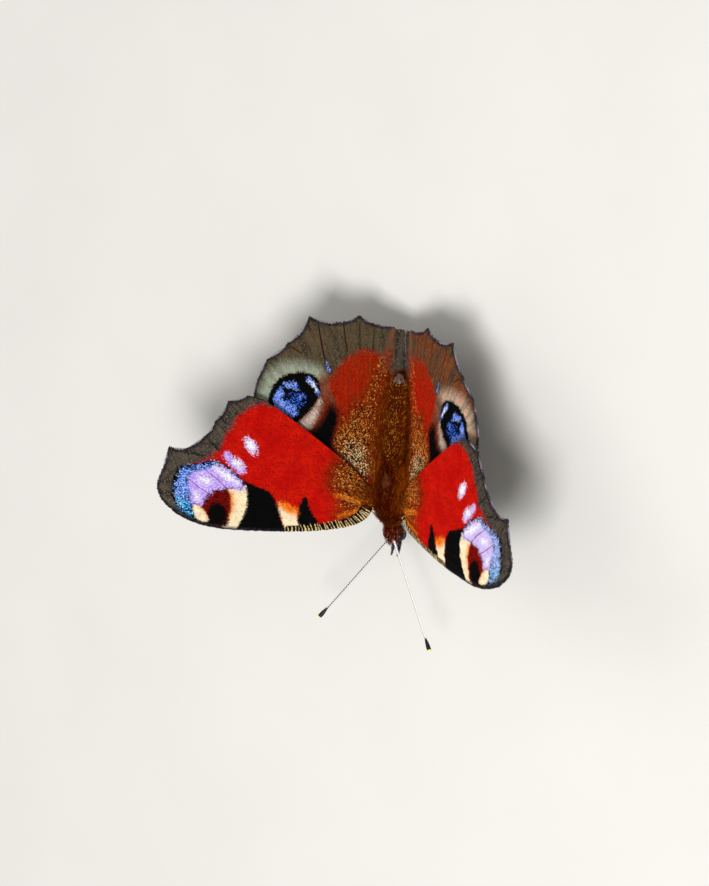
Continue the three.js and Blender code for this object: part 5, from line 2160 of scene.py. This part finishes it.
@dataclass(frozen=True)
class Studio:
    """The pale floor, the soft lights and the camera at the photo's viewing angle."""

    floor_half: float = 1.5  # metres
    eye: Place = (-255.12, -121.06, 388.29)  # the camera, in mm of the insect's frame
    gaze: Place = (0.54270, 0.23292, -0.80698)
    down: Place = (-0.16955, 0.97138, 0.16634)  # the way that is down in the picture
    long_side: float = 886.0  # pixels of the picture
    focal: float = 3475.3  # in those pixels
    sensor: float = 36.0
    sky: str = "#FAF8F5"
    sky_strength: float = 0.42
    clip: Place = (0.01, 10.0)

    def floor(self) -> None:
        """The floor, in one sheet."""
        half = self.floor_half
        mesh = bpy.data.meshes.new("floor")
        corners = [(-half, -half, 0), (half, -half, 0), (half, half, 0), (-half, half, 0)]
        mesh.from_pydata(corners, [], [(0, 1, 2, 3)])
        mesh.materials.append(Plaster().material)
        sheet = bpy.data.objects.new("floor", mesh)
        bpy.context.scene.collection.objects.link(sheet)

    def lamp(self, name: str, place: Place, width: float, power: float) -> None:
        """A square soft light that shines at the insect.

        Args:
            name: of the lamp.
            place: where it is, in metres.
            width: of the light, in metres.
            power: in watts.
        """
        data = bpy.data.lights.new(name, "AREA")
        data.size = width
        data.energy = power
        lamp = bpy.data.objects.new(name, data)
        lamp.location = place
        lamp.rotation_mode = "QUATERNION"
        lamp.rotation_quaternion = (-Vector(place)).to_track_quat("-Z", "Y")
        bpy.context.scene.collection.objects.link(lamp)

    def camera(self) -> None:
        """The camera, without shift, as the photo was taken."""
        data = bpy.data.cameras.new("camera")
        data.sensor_width = self.sensor
        data.sensor_fit = "AUTO"
        data.lens = self.focal * self.sensor / self.long_side
        data.clip_start, data.clip_end = self.clip
        camera = bpy.data.objects.new("camera", data)
        back = -unit(np.array(self.gaze))
        up = -np.array(self.down)
        right = unit(np.cross(up, back))
        turn = Matrix([right, np.cross(back, right), back]).transposed().to_4x4()
        camera.matrix_world = Matrix.Translation((np.array(self.eye) + part_origin()) * MM) @ turn
        bpy.context.scene.collection.objects.link(camera)
        bpy.context.scene.camera = camera

    def build(self) -> None:
        """Make the floor, the lights and the camera."""
        scene = bpy.context.scene
        scene.view_settings.view_transform = "Standard"
        world = bpy.data.worlds.new("studio")
        world.use_nodes = True
        light = {"Color": self.sky, "Strength": self.sky_strength}
        feed(world.node_tree, world.node_tree.nodes["Background"], light)
        scene.world = world
        self.floor()
        self.lamp("key", (-0.22, 0.1, 0.5), width=0.18, power=2.9)
        self.lamp("fill", (0.4, -0.25, 0.4), width=0.4, power=0.8)
        self.camera()


LAID_LOCK = Lock((0.9, 1.7), 0.075, rise=0.4, droop=0.4, sway=0.2)
CUP_LOCK = Lock((0.8, 1.4), 0.11, rise=0.85, droop=0.3, sway=0.25)
FORE_HAIR = (
    Tract(Patch(((-0.5, 0), (1, 0.6), (2.6, -0.6), (3.4, -2.4), (3.2, -4.4), (1, -4), (-0.5, -2.5))),
          (0.8, -0.6), LAID_LOCK, 0.17),
    Tract(Patch(((-0.5, 1.4), (0.8, 1), (1.7, -0.4), (2, -2.6), (1.6, -4.6), (-0.5, -4))),
          (0.35, -1.0), LAID_LOCK, 0.12),
)
HIND_HAIR = (
    Tract(Patch((
        (-1.5, -4), (1.8, -4), (2.6, -6), (2.3, -9), (1.8, -13), (1.2, -16), (0.4, -19), (-1.2, -20),
        (-3, -14), (-3, -7),
    )), (-0.1, -1.0), LAID_LOCK, 0.17),
    Tract(Patch(((0.3, -5), (0.3, -12), (0, -16), (-0.8, -19.4), (-4, -19.4), (-4, -5))), (-1.0, -0.3),
          CUP_LOCK, 0.1),
)


def main() -> None:
    """Build the studio and the insect in order."""
    logging.basicConfig(level=logging.INFO, format="%(name)s: %(message)s")
    parts = (
        Studio(),
        WingDress(Hindwing(), HIND_HAIR, seed=5),
        WingDress(Forewing(), FORE_HAIR, seed=9),
        Body(),
        Face(),
        Feeler(),
        Leg("mid", hip=(0.9, -1.6, -2.6), knee=(4.7, 0.3, -2.5), foot=(7.3, 2.0), toe=(9.6, 3.9)),
        Leg("hind", hip=(0.9, -4.2, -2.4), knee=(4.5, -6.9, -2.6), foot=(6.9, -10.2), toe=(8.3, -13.2)),
        BrushLeg(),
    )
    for part in parts:
        part.build()


if __name__ == "__main__":
    main()
